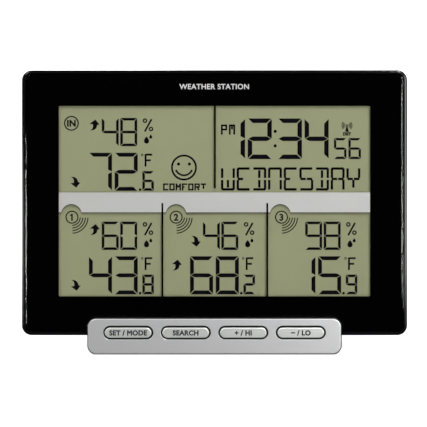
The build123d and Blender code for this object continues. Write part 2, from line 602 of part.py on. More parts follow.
def rear_label():
    """Blank silver sticker on the back."""
    return slab(rounded(LABEL_W, LABEL_H, 1.2, LABEL_X, LABEL_Z), BACK_Y, BACK_Y + LABEL_T)


# ---- Battery bay ------------------------------------------------------------------------------
def cell_height(i):
    return BAY_Z + (i + 0.5) * CELL_PITCH


def cell_way(i):
    """1 if the cell's positive end points to +x."""
    return -1 if i == 1 else 1


def battery_cell(i):
    """AA cell with its positive nub."""
    way, z = cell_way(i), cell_height(i)
    x = way * CELL_SHIFT
    can = rod_x(CELL_R, CELL_L - NUB_L, x - way * NUB_L / 2, CELL_Y, z)
    can = fillet(can.edges(), 0.5)
    return can + rod_x(NUB_R, 2 * NUB_L, x + way * (CELL_L / 2 - NUB_L), CELL_Y, z)


def battery_springs():
    """Conical contact spring at the negative end of each cell."""
    near = BAY_W / 2 - PLATE_T - 0.45
    far = CELL_L / 2 - CELL_SHIFT + 0.45
    step = (near - far) / (SPRING_TURNS - 1)
    springs = []
    for i in range(3):
        spring = None
        for k in range(SPRING_TURNS):
            turn = Torus(SPRING_R - SPRING_STEP * k, SPRING_WIRE_R)
            turn = Pos(-cell_way(i) * (near - step * k), CELL_Y, cell_height(i)) * Rot(0, 90, 0) * turn
            spring = turn if spring is None else spring + turn
        springs.append(spring)
    return group(springs)


def contact_plates():
    """Nickel-plated plates on both ends of the bay."""
    half = PLATE_SIDE / 2
    plates = []
    for x in (-(BAY_W - PLATE_T) / 2, (BAY_W - PLATE_T) / 2):
        for z in (cell_height(i) for i in range(3)):
            plates.append(block(PLATE_T, CELL_Y - half, CELL_Y + half, z - half, z + half, x))
    return group(plates)


def battery_cover():
    """Flush cover with a sprung latch tongue, grip ribs and two bottom tongues."""
    width = BAY_W + 2 * (COVER_LEDGE - COVER_GAP)
    low, high = BAY_Z - COVER_LEDGE + COVER_GAP, BAY_TOP + COVER_LEDGE - COVER_GAP
    cover = slab(between(width, low, high, 1.8), COVER_Y, BACK_Y)
    for x in (-LATCH_X, LATCH_X):
        cover -= Pos(x) * slab(between(LATCH_SLIT_W, high - LATCH_L, high + 1), COVER_Y - 1, BACK_Y + 1)
    for i in range(RIBS):
        cover += slab(rounded(RIB_W, RIB_H, 0.3, 0, high - 2.4 - RIB_PITCH * i), BACK_Y, BACK_Y + RIB_T)
    for x in (-TONGUE_X, TONGUE_X):
        cover += block(TONGUE_W, COVER_Y - TONGUE_T, COVER_Y, low - 0.7, low + 3.0, x)
    return cover


# ---- Leg --------------------------------------------------------------------------------------
def open_leg(shape):
    """Swings a folded piece of the leg out to its standing place."""
    return Pos(0, HINGE_Y, HINGE_Z) * Rot(LEG_OPEN, 0, 0) * Pos(0, -HINGE_Y, -HINGE_Z) * shape


def stand_leg():
    """Fold-out leg with moulded hinge pins, a ribbed inner face and a socket for its rubber foot."""
    foot_z = HINGE_Z - LEG_L
    outline = between(LEG_W, foot_z - 1.2, HINGE_Z, 4.0)
    outline += between(LEG_W, HINGE_Z - 12, HINGE_Z)
    leg = slab(outline, HINGE_Y - LEG_T / 2, HINGE_Y + LEG_T / 2)
    leg += rod_x(LEG_T / 2, LEG_W, 0, HINGE_Y, HINGE_Z)
    hollow = between(LEG_W - 2 * LEG_RIM, foot_z + 6, HINGE_Z - 6, 3.0)
    leg -= slab(hollow, HINGE_Y - LEG_T, HINGE_Y + 0.1)
    for x in (-LEG_RIB_X, LEG_RIB_X):
        leg += block(LEG_RIB_W, HINGE_Y - LEG_T / 2, HINGE_Y + 0.2, foot_z + 6, HINGE_Z - 6, x)
    leg += rod_x(PIN_R, RECESS_W + 2 * PIN_REACH, 0, HINGE_Y, HINGE_Z)
    leg -= rod_x(FOOT_PAD_R, FOOT_PAD_L + 0.2, 0, HINGE_Y, foot_z)
    leg -= block(FOOT_PAD_L + 0.2, HINGE_Y - 5, HINGE_Y + 5, foot_z - 8, foot_z)
    return open_leg(leg)


def leg_foot():
    """Rubber foot at the end of the leg."""
    foot = rod_x(FOOT_PAD_R, FOOT_PAD_L, 0, HINGE_Y, HINGE_Z - LEG_L)
    return open_leg(fillet(foot.edges(), 0.4))


# ---- Stand everything on the table and write it out --------------------------------------------
def stand_up(shape):
    return Rot(-LEAN, 0, 0) * Pos(0, -ORIGIN_Y, -ORIGIN_Z) * shape


def nodes():
    made = {
        "front_case": front_case(),
        "front_lens": front_lens(),
        "lens_mask": lens_mask(),
        "silver_band": silver_band(),
        "display_polariser": front_polariser(),
        "display_front_glass": front_glass(),
        "display_seal": cell_seal(),
        "display_rear_glass": rear_glass(),
        "display_reflector": reflector(),
        "zebra_strip": zebra_strip(),
        "display_carrier": display_carrier(),
        "carrier_screws": carrier_screws(),
        "key_pod": key_pod(),
        "keypad_mat": keypad_mat(),
        "contact_pills": contact_pills(),
        "key_board": key_board(),
        "key_board_screws": key_board_screws(),
        "ribbon_cable": ribbon_cable(),
        "foot_strip": foot_strip(),
        "main_board": main_board(),
        "main_board_screws": main_board_screws(),
        "controller_blob": controller_blob(),
        "quartz_crystal": quartz_crystal(),
        "capacitors": capacitors(),
        "radio_board": radio_board(),
        "radio_shield": radio_shield(),
        "radio_aerial": radio_aerial(),
        "humidity_sensor": humidity_sensor(),
        "ferrite_rod": ferrite_rod(),
        "aerial_coil": aerial_coil(),
        "aerial_clips": aerial_clips(),
        "battery_wire_red": battery_wire(1),
        "battery_wire_black": battery_wire(-1),
        "rear_case": rear_case(),
        "case_screws": case_screws(),
        "rear_label": rear_label(),
        "battery_springs": battery_springs(),
        "contact_plates": contact_plates(),
        "battery_cover": battery_cover(),
        "stand_leg": stand_leg(),
        "leg_foot": leg_foot(),
    }
    for name, x in zip(KEY_NAMES, KEY_X):
        made[f"key_{name}"] = key_cap(x)
        made[f"key_dome_{name}"] = key_dome(x)
    for i in range(3):
        made[f"battery_{i + 1}"] = battery_cell(i)
    return made


os.makedirs("parts", exist_ok=True)
for name, shape in nodes().items():
    export_step(stand_up(shape), f"parts/{name}.step")
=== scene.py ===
import json
from math import asin, cos, pi, radians, sin

import bmesh
import bpy
from bpy.props import FloatProperty, FloatVectorProperty, PointerProperty, StringProperty
from bpy.types import Operator, Panel, PropertyGroup
from mathutils import Matrix, Vector


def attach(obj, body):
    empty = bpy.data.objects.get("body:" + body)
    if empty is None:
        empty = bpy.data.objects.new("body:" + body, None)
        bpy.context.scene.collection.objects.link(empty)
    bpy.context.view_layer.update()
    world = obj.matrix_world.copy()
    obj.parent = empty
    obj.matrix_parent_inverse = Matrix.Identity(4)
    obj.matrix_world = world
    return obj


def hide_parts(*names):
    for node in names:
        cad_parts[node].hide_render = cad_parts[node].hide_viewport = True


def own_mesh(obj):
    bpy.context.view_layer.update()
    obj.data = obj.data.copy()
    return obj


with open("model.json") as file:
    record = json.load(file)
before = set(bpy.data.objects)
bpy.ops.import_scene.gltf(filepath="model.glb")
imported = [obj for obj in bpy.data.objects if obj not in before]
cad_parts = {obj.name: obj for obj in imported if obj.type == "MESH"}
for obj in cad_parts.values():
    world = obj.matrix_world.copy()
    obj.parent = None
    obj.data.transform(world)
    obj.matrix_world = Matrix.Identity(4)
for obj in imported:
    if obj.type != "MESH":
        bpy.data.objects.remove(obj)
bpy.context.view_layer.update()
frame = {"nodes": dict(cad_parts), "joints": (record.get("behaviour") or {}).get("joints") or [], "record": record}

bl_info = {
    "name": "Weather Station Looks",
    "version": (1, 0, 0),
    "blender": (4, 5, 0),
    "location": "3D View > Sidebar > Station",
    "description": "Finishes, display and small pieces of a table-top home weather station",
    "category": "Object",
}

MM = 0.001
FULL_TURN = 360  # degrees
MERGE_MM = 0.0005  # how near two doubled points lie
EPSILON_MM = 0.01  # smallest step that keeps two faces apart

# Display and print
WINDOW_INSET_MM = 0.5  # from the end of the silver band to the side of the window
WINDOW_FOOT_MM = 8.1  # from the foot of the front glass to the foot of the window
WINDOW_HIGH_MM = 94.8  # height of the clear window in the black print
SEGMENT_DEPTH_MM = 0.05
INK_MM = 0.01  # thickness of printed ink
CAPITAL_SHARE = 0.715  # height of a capital in the built-in typeface, as a share of its size
BEZEL_RISE_MM = 5.0  # from the top of the front glass to the legend over the window
RULE_REACH_MM = 14.5  # half the width of a rule on the label

# Moulded and wound pieces
SEAL_PLAY_MM, SEAL_DEPTH_MM, SEAL_RECESS_MM = 0.04, 1.1, 0.35
RIB_HEIGHT_MM = 0.35  # the cover's grip ribs stand this far out
# Behind the silver paint the black rim is partly painted shade; these set where it starts and how softly it fades
OVERSPRAY_MM = 0.12  # width of the soft edge that a spray mask leaves
POD_PAINT_MM, KEY_PAINT_MM = 0.03, 0.1  # how far the silver paint reaches back from the front
CELL_BAND_SHARE, CELL_NUB_SHARE = 0.84, 0.978  # where a cell's band and nub start along its length
PILL_ROUND_MM = 0.08  # rounding of a carbon pill's rims
PLATE_MM = 0.4  # thickness of a contact plate
SPRING_WIDE_MM, SPRING_NARROW_MM, SPRING_WIRE_MM, SPRING_TURNS = 4.6, 2.4, 0.32, 4
STEPS_PER_TURN = 20

# Lamps: name, power in watts, then in metres the width and height, and how far across, up and out the lamp
# stands from the middle of the face
LAMPS = (
    ("key_light", 16.0, 0.25, 0.25, 0.42, 0.95, 0.9),
    ("fill_light", 8.0, 0.4, 0.4, -0.62, 0.75, 1.0),
    ("sheen_light", 6.0, 0.4, 0.4, 0.52, 0.1, 1.0),
    ("left_strip", 2.5, 0.3, 0.13, -0.7, -0.02, 0.2),
    ("right_strip", 0.72, 0.25, 0.11, 0.7, -0.02, 0.2),
    ("back_light", 14.0, 0.6, 0.4, -0.35, 0.8, -0.9),
)
SENSOR_WIDTH_MM = 36.0
VIEW_MIDDLE_MM = (-0.5, 69.6)  # middle of the view: across, and up from the foot of the key pod

# ---- Places, all read from the frame ----


def lean_angle():
    """How far the face leans back: the keys are pressed square to it."""
    press = next(j for j in frame["joints"] if j["name"] == "press_set_mode")
    return asin(-press["axis"][2])


LEAN = lean_angle()
ACROSS = Vector((1, 0, 0))
INTO = Vector((0, cos(LEAN), -sin(LEAN)))  # square to the face, into the body
RISE = Vector((0, sin(LEAN), cos(LEAN)))  # up the face
FACE = Matrix((ACROSS, RISE, -INTO)).transposed().to_4x4()  # flat x, y, z to the leaning face


def face_box(node):
    """Lowest and highest corner of a node along the face: across, up the face, towards the viewer."""
    turned = FACE.inverted()
    points = [turned @ v.co for v in frame["nodes"][node].data.vertices]
    low = Vector([min(p[i] for p in points) for i in range(3)])
    high = Vector([max(p[i] for p in points) for i in range(3)])
    return low, high


def face_middle(node):
    """Middle of a node's box along the face."""
    low, high = face_box(node)
    return (low + high) / 2


LENS_MIDDLE, LENS_FRONT = face_middle("front_lens"), face_box("front_lens")[1].z
BAND_LOW, BAND_HIGH = face_box("silver_band")
POD_LOW, POD_HIGH = face_box("key_pod")
GLASS_LOW, GLASS_HIGH = face_box("display_front_glass")
MASK_FRONT = face_box("lens_mask")[1].z
SEGMENT_FRONT = face_box("display_polariser")[1].z + EPSILON_MM * MM  # segments only show on the polariser
WINDOW_LEFT_MM = BAND_LOW.x / MM + WINDOW_INSET_MM
WINDOW_LOW_MM = GLASS_LOW.y / MM + WINDOW_FOOT_MM
KEY_LEGENDS = {"set_mode": "SET / MODE", "search": "SEARCH", "plus": "+ / HI", "minus": "− / LO"}

# ---- Sizes and colours that a user would change ----


def colour(name, description, code):
    """A setting for an sRGB hex colour."""
    return StringProperty(name=name, description=description, default=code)


def length(name, description, millimetres):
    """A setting for a length, with its default in millimetres."""
    return FloatProperty(
        name=name, description=description, default=millimetres * MM, unit="LENGTH", subtype="DISTANCE"
    )


class DisplaySizes(PropertyGroup):
    """Sizes of the figures on the liquid crystal display, and their colour."""

    big_width: length("Temperature width", "Width of a temperature figure", 11.5)
    big_height: length("Temperature height", "Height of a temperature figure", 18.95)
    big_pitch: length("Temperature pitch", "From one temperature figure to the next", 12.8)
    humidity_width: length("Humidity width", "Width of a humidity figure", 8.45)
    humidity_height: length("Humidity height", "Height of a humidity figure", 14.1)
    humidity_pitch: length("Humidity pitch", "From one humidity figure to the next", 9.2)
    clock_width: length("Clock width", "Width of a figure of the hour", 12.0)
    clock_height: length("Clock height", "Height of a figure of the hour", 20.2)
    clock_pitch: length("Clock pitch", "From one figure of the hour to the next", 13.3)
    seconds_width: length("Seconds width", "Width of a figure of the seconds", 6.25)
    seconds_height: length("Seconds height", "Height of a figure of the seconds", 10.5)
    letter_width: length("Letter width", "Width of a letter of the weekday", 6.95)
    letter_height: length("Letter height", "Height of a letter of the weekday", 11.55)
    letter_pitch: length("Letter pitch", "From one letter of the weekday to the next", 7.8)
    ring_radius: length("Ring radius", "Outer radius of the ring round a sensor number", 3.25)
    ink: colour("Segment colour", "Colour of a switched-on segment", "100e13")


class KeySizes(PropertyGroup):
    """Sizes of the keys that the rubber lips have to fit."""

    width: length("Key width", "Width of a key's face", 23.4)
    height: length("Key height", "Height of a key's face", 5.5)
    gap: length("Key gap", "Gap between a key and the pod", 0.6)


class LegendSizes(PropertyGroup):
    """Sizes of the printed words, and their colours."""

    key_height: length("Key legend height", "Height of the letters on the keys", 2.4)
    bezel_height: length("Bezel legend height", "Height of the letters over the window", 2.6)
    key_ink: colour("Key legend colour", "Colour of the print on the keys", "26272a")
    bezel_ink: colour("Bezel legend colour", "Colour of the print over the window", "dcdcdc")


class FinishColours(PropertyGroup):
    """Colours of the main surfaces."""

    case: colour("Case", "Glossy black of the front case", "060607")
    mask: colour("Window surround", "Black print behind the lens", "020202")
    silver: colour("Silver paint", "Paint of the key pod", "bbbbbc")
    key_silver: colour("Key paint", "Paint of the keys", "c2c5c1")
    band: colour("Band print", "Silver print across the window", "c0c0be")
    display: colour("Display ground", "Grey-green of the display", "959877")
    rear: colour("Rear case", "Grained black of the rear case", "202124")


class StageSizes(PropertyGroup):
    """Camera, floor and lights."""

    lens: FloatProperty(
        name="Focal length", description="Focal length of the camera", default=0.12, unit="CAMERA"
    )
    view_width: length("View width", "Width that the camera sees at the face", 211.4)
    floor_width: length("Floor width", "Width of the floor", 8000.0)
    tint: FloatVectorProperty(
        name="Floor tint", description="Colour of the floor", default=(0.5, 0.5, 0.5), subtype="COLOR"
    )
    floor_glow: FloatProperty(
        name="Floor glow", description="Light from the lit table under the object", default=0.8
    )
    room_glow: FloatProperty(name="Room glow", description="Light from the white room", default=0.9)


# The settings as the user has left them


def finish():
    return bpy.context.scene.station_finish


def display():
    return bpy.context.scene.station_display


def key_sizes():
    return bpy.context.scene.station_keys


def legends():
    return bpy.context.scene.station_legends


def staging():
    return bpy.context.scene.station_stage


# ---- Materials ----


def linear(code):
    """An sRGB hex code as linear red, green, blue and alpha."""
    channels = [int(code[i : i + 2], 16) / 255 for i in (0, 2, 4)]
    return tuple(c / 12.92 if c <= 0.04045 else ((c + 0.055) / 1.055) ** 2.4 for c in channels) + (1.0,)


def add_node(tree, kind, settings=(), sockets=(), links=()):
    """Adds a shader node, with its settings, its socket values and the links into it."""
    node = tree.nodes.new(kind)
    for name, value in dict(settings).items():
        setattr(node, name, value)
    for name, value in dict(sockets).items():
        node.inputs[name].default_value = value
    for name, source in dict(links).items():
        tree.links.new(source, node.inputs[name])
    return node


def new_material(name):
    """An empty node material and its output."""
    material = bpy.data.materials.new(name)
    material.use_nodes = True
    material.node_tree.nodes.clear()
    output = add_node(material.node_tree, "ShaderNodeOutputMaterial")
    return material, material.node_tree, output


def ramp_between(tree, source, low, high):
    """A colour that follows a pattern's value from one colour to another."""
    ramp = add_node(tree, "ShaderNodeValToRGB", links={"Fac": source})
    ramp.color_ramp.elements[0].color = low
    ramp.color_ramp.elements[1].color = high
    return ramp.outputs["Color"]


def shaded(code, factor):
    """A colour made lighter or darker."""
    red, green, blue, alpha = linear(code)
    return (red * factor, green * factor, blue * factor, alpha)


def grained(name, code, grain_mm, relief_mm, roughness, spread, tone, metallic=0.0, specular=0.5):
    """A moulded or painted surface: a fine grain in its relief, gloss and tone."""
    material, tree, output = new_material(name)
    place = add_node(tree, "ShaderNodeTexCoord").outputs["Object"]
    grain = add_node(
        tree, "ShaderNodeTexNoise", sockets={"Scale": 1 / (grain_mm * MM), "Detail": 3.0, "Roughness": 0.6},
        links={"Vector": place},
    ).outputs["Fac"]
    gloss = add_node(
        tree, "ShaderNodeMapRange",
        sockets={"To Min": roughness - spread / 2, "To Max": roughness + spread / 2}, links={"Value": grain},
    ).outputs["Result"]
    paint = ramp_between(tree, grain, shaded(code, 1 - tone), shaded(code, 1 + tone))
    relief = add_node(
        tree, "ShaderNodeBump", sockets={"Strength": 1.0, "Distance": relief_mm * MM},
        links={"Height": grain},
    ).outputs["Normal"]
    shader = add_node(
        tree, "ShaderNodeBsdfPrincipled", sockets={"Metallic": metallic, "Specular IOR Level": specular},
        links={"Base Color": paint, "Roughness": gloss, "Normal": relief},
    )
    tree.links.new(shader.outputs["BSDF"], output.inputs["Surface"])
    return material


def shader_of(tree):
    """The surface shader of a material."""
    return next(node for node in tree.nodes if node.type == "BSDF_PRINCIPLED")


def bare_edge_and_painted_shade(material, front, depth_mm):
    """Leaves a painted moulding bare and black from a depth behind its front, as a spray mask does; the black on
    the rounded rim is also painted shade, darkening the edge as shade would.
    """
    tree = material.node_tree
    shader = shader_of(tree)
    paint = shader.inputs["Base Color"].links[0].from_socket
    place = add_node(tree, "ShaderNodeTexCoord").outputs["Object"]
    turned = add_node(
        tree, "ShaderNodeMapping", sockets={"Rotation": (LEAN - pi / 2, 0, 0)}, links={"Vector": place}
    ).outputs["Vector"]
    out = add_node(tree, "ShaderNodeSeparateXYZ", links={"Vector": turned}).outputs["Z"]
    painted = add_node(
        tree, "ShaderNodeMapRange",
        sockets={"From Min": front - (depth_mm + OVERSPRAY_MM) * MM, "From Max": front - depth_mm * MM},
        links={"Value": out},
    ).outputs["Result"]
    # Black bare plastic past the paint, which also stands in as painted shade on the rounded rim
    mixed = add_node(
        tree, "ShaderNodeMix", settings={"data_type": "RGBA"}, sockets={6: linear("0a0a0b")},
        links={0: painted, 7: paint},
    ).outputs[2]
    metal = add_node(
        tree, "ShaderNodeMath", settings={"operation": "MULTIPLY"},
        sockets={1: shader.inputs["Metallic"].default_value}, links={0: painted},
    ).outputs[0]
    tree.links.new(mixed, shader.inputs["Base Color"])
    tree.links.new(metal, shader.inputs["Metallic"])
    return material


def clear(name, tint, ior, roughness):
    """A clear sheet: light passes straight through, and its skin reflects more at a slant."""
    haze_mm = 9
    material, tree, output = new_material(name)
    place = add_node(tree, "ShaderNodeTexCoord").outputs["Object"]
    haze = add_node(
        tree, "ShaderNodeTexNoise", sockets={"Scale": 1 / (haze_mm * MM), "Detail": 2.0},
        links={"Vector": place},
    ).outputs["Fac"]
    gloss = add_node(
        tree, "ShaderNodeMapRange", sockets={"To Min": roughness, "To Max": roughness + 0.02},
        links={"Value": haze},
    ).outputs["Result"]
    through = add_node(tree, "ShaderNodeBsdfTransparent", sockets={"Color": linear(tint)})
    skin = add_node(
        tree, "ShaderNodeBsdfGlossy", sockets={"Color": (1, 1, 1, 1)}, links={"Roughness": gloss}
    )
    slant = add_node(tree, "ShaderNodeFresnel", sockets={"IOR": ior}).outputs["Fac"]
    mixed = add_node(tree, "ShaderNodeMixShader", links={0: slant})
    tree.links.new(through.outputs["BSDF"], mixed.inputs[1])
    tree.links.new(skin.outputs["BSDF"], mixed.inputs[2])
    tree.links.new(mixed.outputs["Shader"], output.inputs["Surface"])
    return material


def piano_black_abs():
    # Polished ABS: deep black with sharp reflections, hardly uneven in gloss.
    return grained("piano_black_abs", finish().case, 6.0, 0.0, 0.11, 0.02, 0.2)


def grained_black_abs():
    # Spark-eroded ABS: fine pebbled grain that breaks reflections into a grey sheen.
    return grained("grained_black_abs", finish().rear, 0.45, 0.03, 0.5, 0.16, 0.25)


def polished_acrylic():
    # Clear cast acrylic: colourless, with mirror-like skin reflections at its rounded edges.
    return clear("polished_acrylic", "ffffff", 1.49, 0.02)


def black_screen_print():
    # Dense screen ink behind the lens: no gloss of its own, so the panel looks black right through.
    return grained("black_screen_print", finish().mask, 0.3, 0.0, 0.7, 0.1, 0.3, specular=0.0)


def silver_screen_print():
    # Aluminium-pigment ink on film: even satin grey with a trace of grain.
    return grained("silver_screen_print", finish().band, 0.25, 0.002, 0.45, 0.08, 0.02, metallic=0.1)


def display_float_glass():
    # Thin soda-lime glass between films: clear, with a weak reflection.
    return clear("display_float_glass", "fbfdfb", 1.08, 0.05)


def display_ground(name):
    # Matt polarising film over a reflective liquid crystal cell: flat grey-green, very fine sparkle.
    return grained(name, finish().display, 0.22, 0.001, 0.6, 0.1, 0.015, specular=0.15)


def segment_dye():
    # Switched-on liquid crystal: near-black and matt.
    return grained("segment_dye", display().ink, 0.2, 0.0, 0.75, 0.05, 0.1, specular=0.0)


def silver_pod_paint():
    # Satin silver paint on black ABS: soft highlight over fine metal flake, bare at the rounded edge, where the
    # black also serves as painted shade along the rim.
    paint = grained("silver_pod_paint", finish().silver, 0.18, 0.003, 0.38, 0.12, 0.035, metallic=0.8)
    return bare_edge_and_painted_shade(paint, POD_HIGH.z, POD_PAINT_MM)


def silver_key_paint():
    # The same paint over a smoother moulding, a touch warmer, on the face of each key only; the black sides darken
    # the gap round the key as painted shade.
    paint = grained("silver_key_paint", finish().key_silver, 0.18, 0.002, 0.36, 0.1, 0.03, metallic=0.8)
    return bare_edge_and_painted_shade(paint, face_box("key_search")[1].z, KEY_PAINT_MM)


def moulded(name, code, roughness=0.5):
    # Plain moulded plastic: low gloss with a faint mottle from the mould.
    return grained(name, code, 0.8, 0.006, roughness, 0.12, 0.05)


def rolled_metal(name, code, roughness=0.28):
    # Plated or tinned sheet: bright, with a slightly uneven coating.
    return grained(name, code, 0.6, 0.003, roughness, 0.14, 0.06, metallic=1.0)


def soft_rubber(name, code, roughness=0.85):
    # Moulded rubber: dull skin with a fine tooth.
    return grained(name, code, 0.35, 0.02, roughness, 0.1, 0.15)


def painted_shadow_ink(name, code):
    # Painted shadow under the silver print: dark, matt, with no gloss of its own.
    return grained(name, code, 0.2, 0.0, 0.7, 0.1, 0.05, specular=0.0)


def grey_pad_print():
    # Pad-printed enamel ink: dark grey, matt, and even.
    return grained("grey_pad_print", legends().key_ink, 0.15, 0.0, 0.6, 0.08, 0.06, specular=0.1)


def white_screen_print():
    # Opaque white screen ink: matt and even.
    return grained("white_screen_print", legends().bezel_ink, 0.15, 0.0, 0.6, 0.08, 0.03)


def black_key_seal_and_gap_shade():
    # Carbon-filled silicone in a narrow gap: near-black, with next to no shine, so it also stands in as painted
    # shade in the gap.
    return grained("black_key_seal_and_gap_shade", "040404", 0.35, 0.02, 0.8, 0.1, 0.15, specular=0.1)


def sintered_ferrite():
    # Pressed and fired ferrite: dark grey and dry, with a gritty skin.
    return grained("sintered_ferrite", "2b2a2b", 0.3, 0.02, 0.7, 0.1, 0.2)


def enamelled_copper():
    # Fine enamelled wire laid side by side: red-brown metal broken up by the turns.
    return grained("enamelled_copper", "c06a35", 0.25, 0.05, 0.35, 0.1, 0.15, metallic=1.0)


def polyester_label():
    # Silvered polyester film: pale grey with a soft metal sheen.
    return grained("silver_polyester_label", "c9cacb", 0.3, 0.002, 0.4, 0.08, 0.03, metallic=0.4)


def cell_jacket(node):
    # Printed shrink film on a steel can: blue, with a silver band and a bare nub at the positive end.
    low, high = face_box(node)
    start, end = (low.x, high.x) if low.x + high.x > 0 else (high.x, low.x)
    material = grained("cell_jacket_film", "2f6488", 0.8, 0.004, 0.25, 0.08, 0.05)
    tree = material.node_tree
    place = add_node(tree, "ShaderNodeTexCoord").outputs["Object"]
    across = add_node(tree, "ShaderNodeSeparateXYZ", links={"Vector": place}).outputs["X"]
    along = add_node(
        tree, "ShaderNodeMapRange", sockets={"From Min": start, "From Max": end}, links={"Value": across}
    ).outputs["Result"]
    ramp = add_node(tree, "ShaderNodeValToRGB", links={"Fac": along})
    ramp.color_ramp.interpolation = "CONSTANT"
    ramp.color_ramp.elements[0].color = linear("2f6488")
    ramp.color_ramp.elements[1].position = CELL_BAND_SHARE
    ramp.color_ramp.elements[1].color = linear("c3c6c8")
    ramp.color_ramp.elements.new(CELL_NUB_SHARE).color = linear("8d8a82")
    tree.links.new(ramp.outputs["Color"], shader_of(tree).inputs["Base Color"])
    return material


def solder_mask_board():
    # Green solder mask over copper tracks: tracks lie under it as slightly raised, lighter runs.
    pitch_mm, relief_mm = 14, 0.03
    material, tree, output = new_material("solder_mask_board")
    place = add_node(tree, "ShaderNodeTexCoord").outputs["Object"]
    tracks = add_node(
        tree, "ShaderNodeTexBrick",
        sockets={
            "Scale": 1 / (pitch_mm * MM), "Mortar Size": 0.03, "Color1": linear("0d5a2c"),
            "Color2": linear("0b4f27"), "Mortar": linear("2c8a4b"),
        },
        links={"Vector": place},
    )
    relief = add_node(
        tree, "ShaderNodeBump", sockets={"Strength": 1.0, "Distance": relief_mm * MM},
        links={"Height": tracks.outputs["Fac"]},
    ).outputs["Normal"]
    shader = add_node(
        tree, "ShaderNodeBsdfPrincipled", sockets={"Roughness": 0.3},
        links={"Base Color": tracks.outputs["Color"], "Normal": relief},
    )
    tree.links.new(shader.outputs["BSDF"], output.inputs["Surface"])
    return material


# ---- Shapes ----


def flat_face(bm, points):
    """A flat face through a few points, in millimetres."""
    bm.faces.new([bm.verts.new((x * MM, y * MM, 0)) for x, y in points])


def thicken(bm, depth):
    """Turns every flat face of a drawing to the viewer and gives it the same thickness, away from them."""
    for face in bm.faces:
        face.normal_update()
        if face.normal.z < 0:
            face.normal_flip()
    faces = list(bm.faces)
    grown = bmesh.ops.extrude_face_region(bm, geom=faces)["geom"]
    moved = [item for item in grown if isinstance(item, bmesh.types.BMVert)]
    bmesh.ops.translate(bm, verts=moved, vec=(0, 0, -depth))
    bmesh.ops.recalc_face_normals(bm, faces=bm.faces)


def piece(name, bm, place, material, body):
    """Makes an object of a drawing, sets it in its place and lets it ride on a body."""
    mesh = bpy.data.meshes.new(name)
    bm.to_mesh(mesh)
    bm.free()
    mesh.transform(place)
    mesh.materials.append(material)
    made = bpy.data.objects.new(name, mesh)
    bpy.context.scene.collection.objects.link(made)
    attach(made, body)
    return made


def on_face(across, up, out):
    """The place of a flat drawing on the leaning face."""
    return FACE @ Matrix.Translation((across, up, out))


def disc(bm, radius, x, y, steps=20):
    """A flat disc, in millimetres."""
    place = Matrix.Translation((x * MM, y * MM, 0))
    bmesh.ops.create_circle(bm, cap_ends=True, segments=steps, radius=radius * MM, matrix=place)


def arc(bm, radius, width, x, y, start, end, steps=14):
    """A flat arc from one angle to another, in degrees from +x."""
    across = Matrix.Rotation(radians(start), 4, "Z")
    centre = Vector((x * MM, y * MM, 0))
    verts = [
        bm.verts.new(centre + across @ Vector(((radius + side * width / 2) * MM, 0, 0))) for side in (-1, 1)
    ]
    edge = bm.edges.new(verts)
    bmesh.ops.spin(
        bm, geom=[*verts, edge], cent=centre, axis=(0, 0, 1), angle=radians(end - start), steps=steps,
        use_merge=end - start == FULL_TURN,
    )


def ring(bm, radius, width, x, y, steps=40):
    """A flat ring of this outer radius, in millimetres."""
    arc(bm, radius - width / 2, width, x, y, 0, FULL_TURN, steps)


def stadium(bm, width, height, steps=16):
    """A flat pill outline as one face, its size in metres. Play is left round it."""
    play = SEAL_PLAY_MM * MM
    radius = height / 2 - play
    half = (width - height) / 2
    start = bm.verts.new((half, -radius, 0))
    right = bmesh.ops.spin(
        bm, geom=[start], cent=(half, 0, 0), axis=(0, 0, 1), angle=pi, steps=steps, use_merge=False
    )["geom_last"]
    top = next(item for item in right if isinstance(item, bmesh.types.BMVert))
    corner = bmesh.ops.extrude_vert_indiv(bm, verts=[top])["verts"]
    bmesh.ops.translate(bm, verts=corner, vec=(-2 * half, 0, 0))
    bmesh.ops.spin(
        bm, geom=corner, cent=(-half, 0, 0), axis=(0, 0, 1), angle=pi, steps=steps, use_merge=False
    )
    return bmesh.ops.contextual_create(bm, geom=bm.verts[:])["faces"][0]


def stroke(bm, start, end, width):
    """A straight bar with square ends, in millimetres."""
    run = Vector(end) - Vector(start)
    side = Vector((-run.y, run.x)).normalized() * width / 2
    a, b = Vector(start), Vector(end)
    flat_face(bm, [a - side, b - side, b + side, a + side])


def baked(curve):
    """The mesh of a curve. The curve itself is used up."""
    holder = bpy.data.objects.new(curve.name, curve)
    bpy.context.scene.collection.objects.link(holder)
    bpy.context.view_layer.update()
    mesh = bpy.data.meshes.new_from_object(holder.evaluated_get(bpy.context.evaluated_depsgraph_get()))
    bpy.data.objects.remove(holder)
    bpy.data.curves.remove(curve)
    return mesh


def add_mesh(bm, mesh):
    """Adds a mesh to a drawing. The mesh itself is used up."""
    bm.from_mesh(mesh)
    bpy.data.meshes.remove(mesh)


def words(text, height, x, y, weight, depth_mm):
    """A centred line of plain sans lettering as a closed mesh, in millimetres. height is a capital's."""
    curve = bpy.data.curves.new("lettering", "FONT")
    curve.body = text
    curve.size = height * MM / CAPITAL_SHARE
    curve.align_x = "CENTER"
    curve.space_character = 1.06
    curve.resolution_u = 4
    curve.bevel_depth = weight * MM
    curve.bevel_resolution = 0
    curve.extrude = EPSILON_MM * MM
    mesh = baked(curve)
    flatten = Matrix.Diagonal((1, 1, depth_mm / (2 * (weight + EPSILON_MM)), 1))
    mesh.transform(Matrix.Translation((x * MM, y * MM, 0)) @ flatten)
    return mesh


def on_back(low, high):
    """The place of a flat drawing on the back of a piece, read from behind, its middle on the piece's."""
    middle = (low + high) / 2
    place = Matrix.Translation((middle.x, middle.y, low.z - EPSILON_MM * MM))
    return FACE @ place @ Matrix.Rotation(pi, 4, "Y")


def add_drawing(bm, other):
    """Adds one drawing to another."""
    mesh = bpy.data.meshes.new("drawing")
    other.to_mesh(mesh)
    other.free()
    add_mesh(bm, mesh)


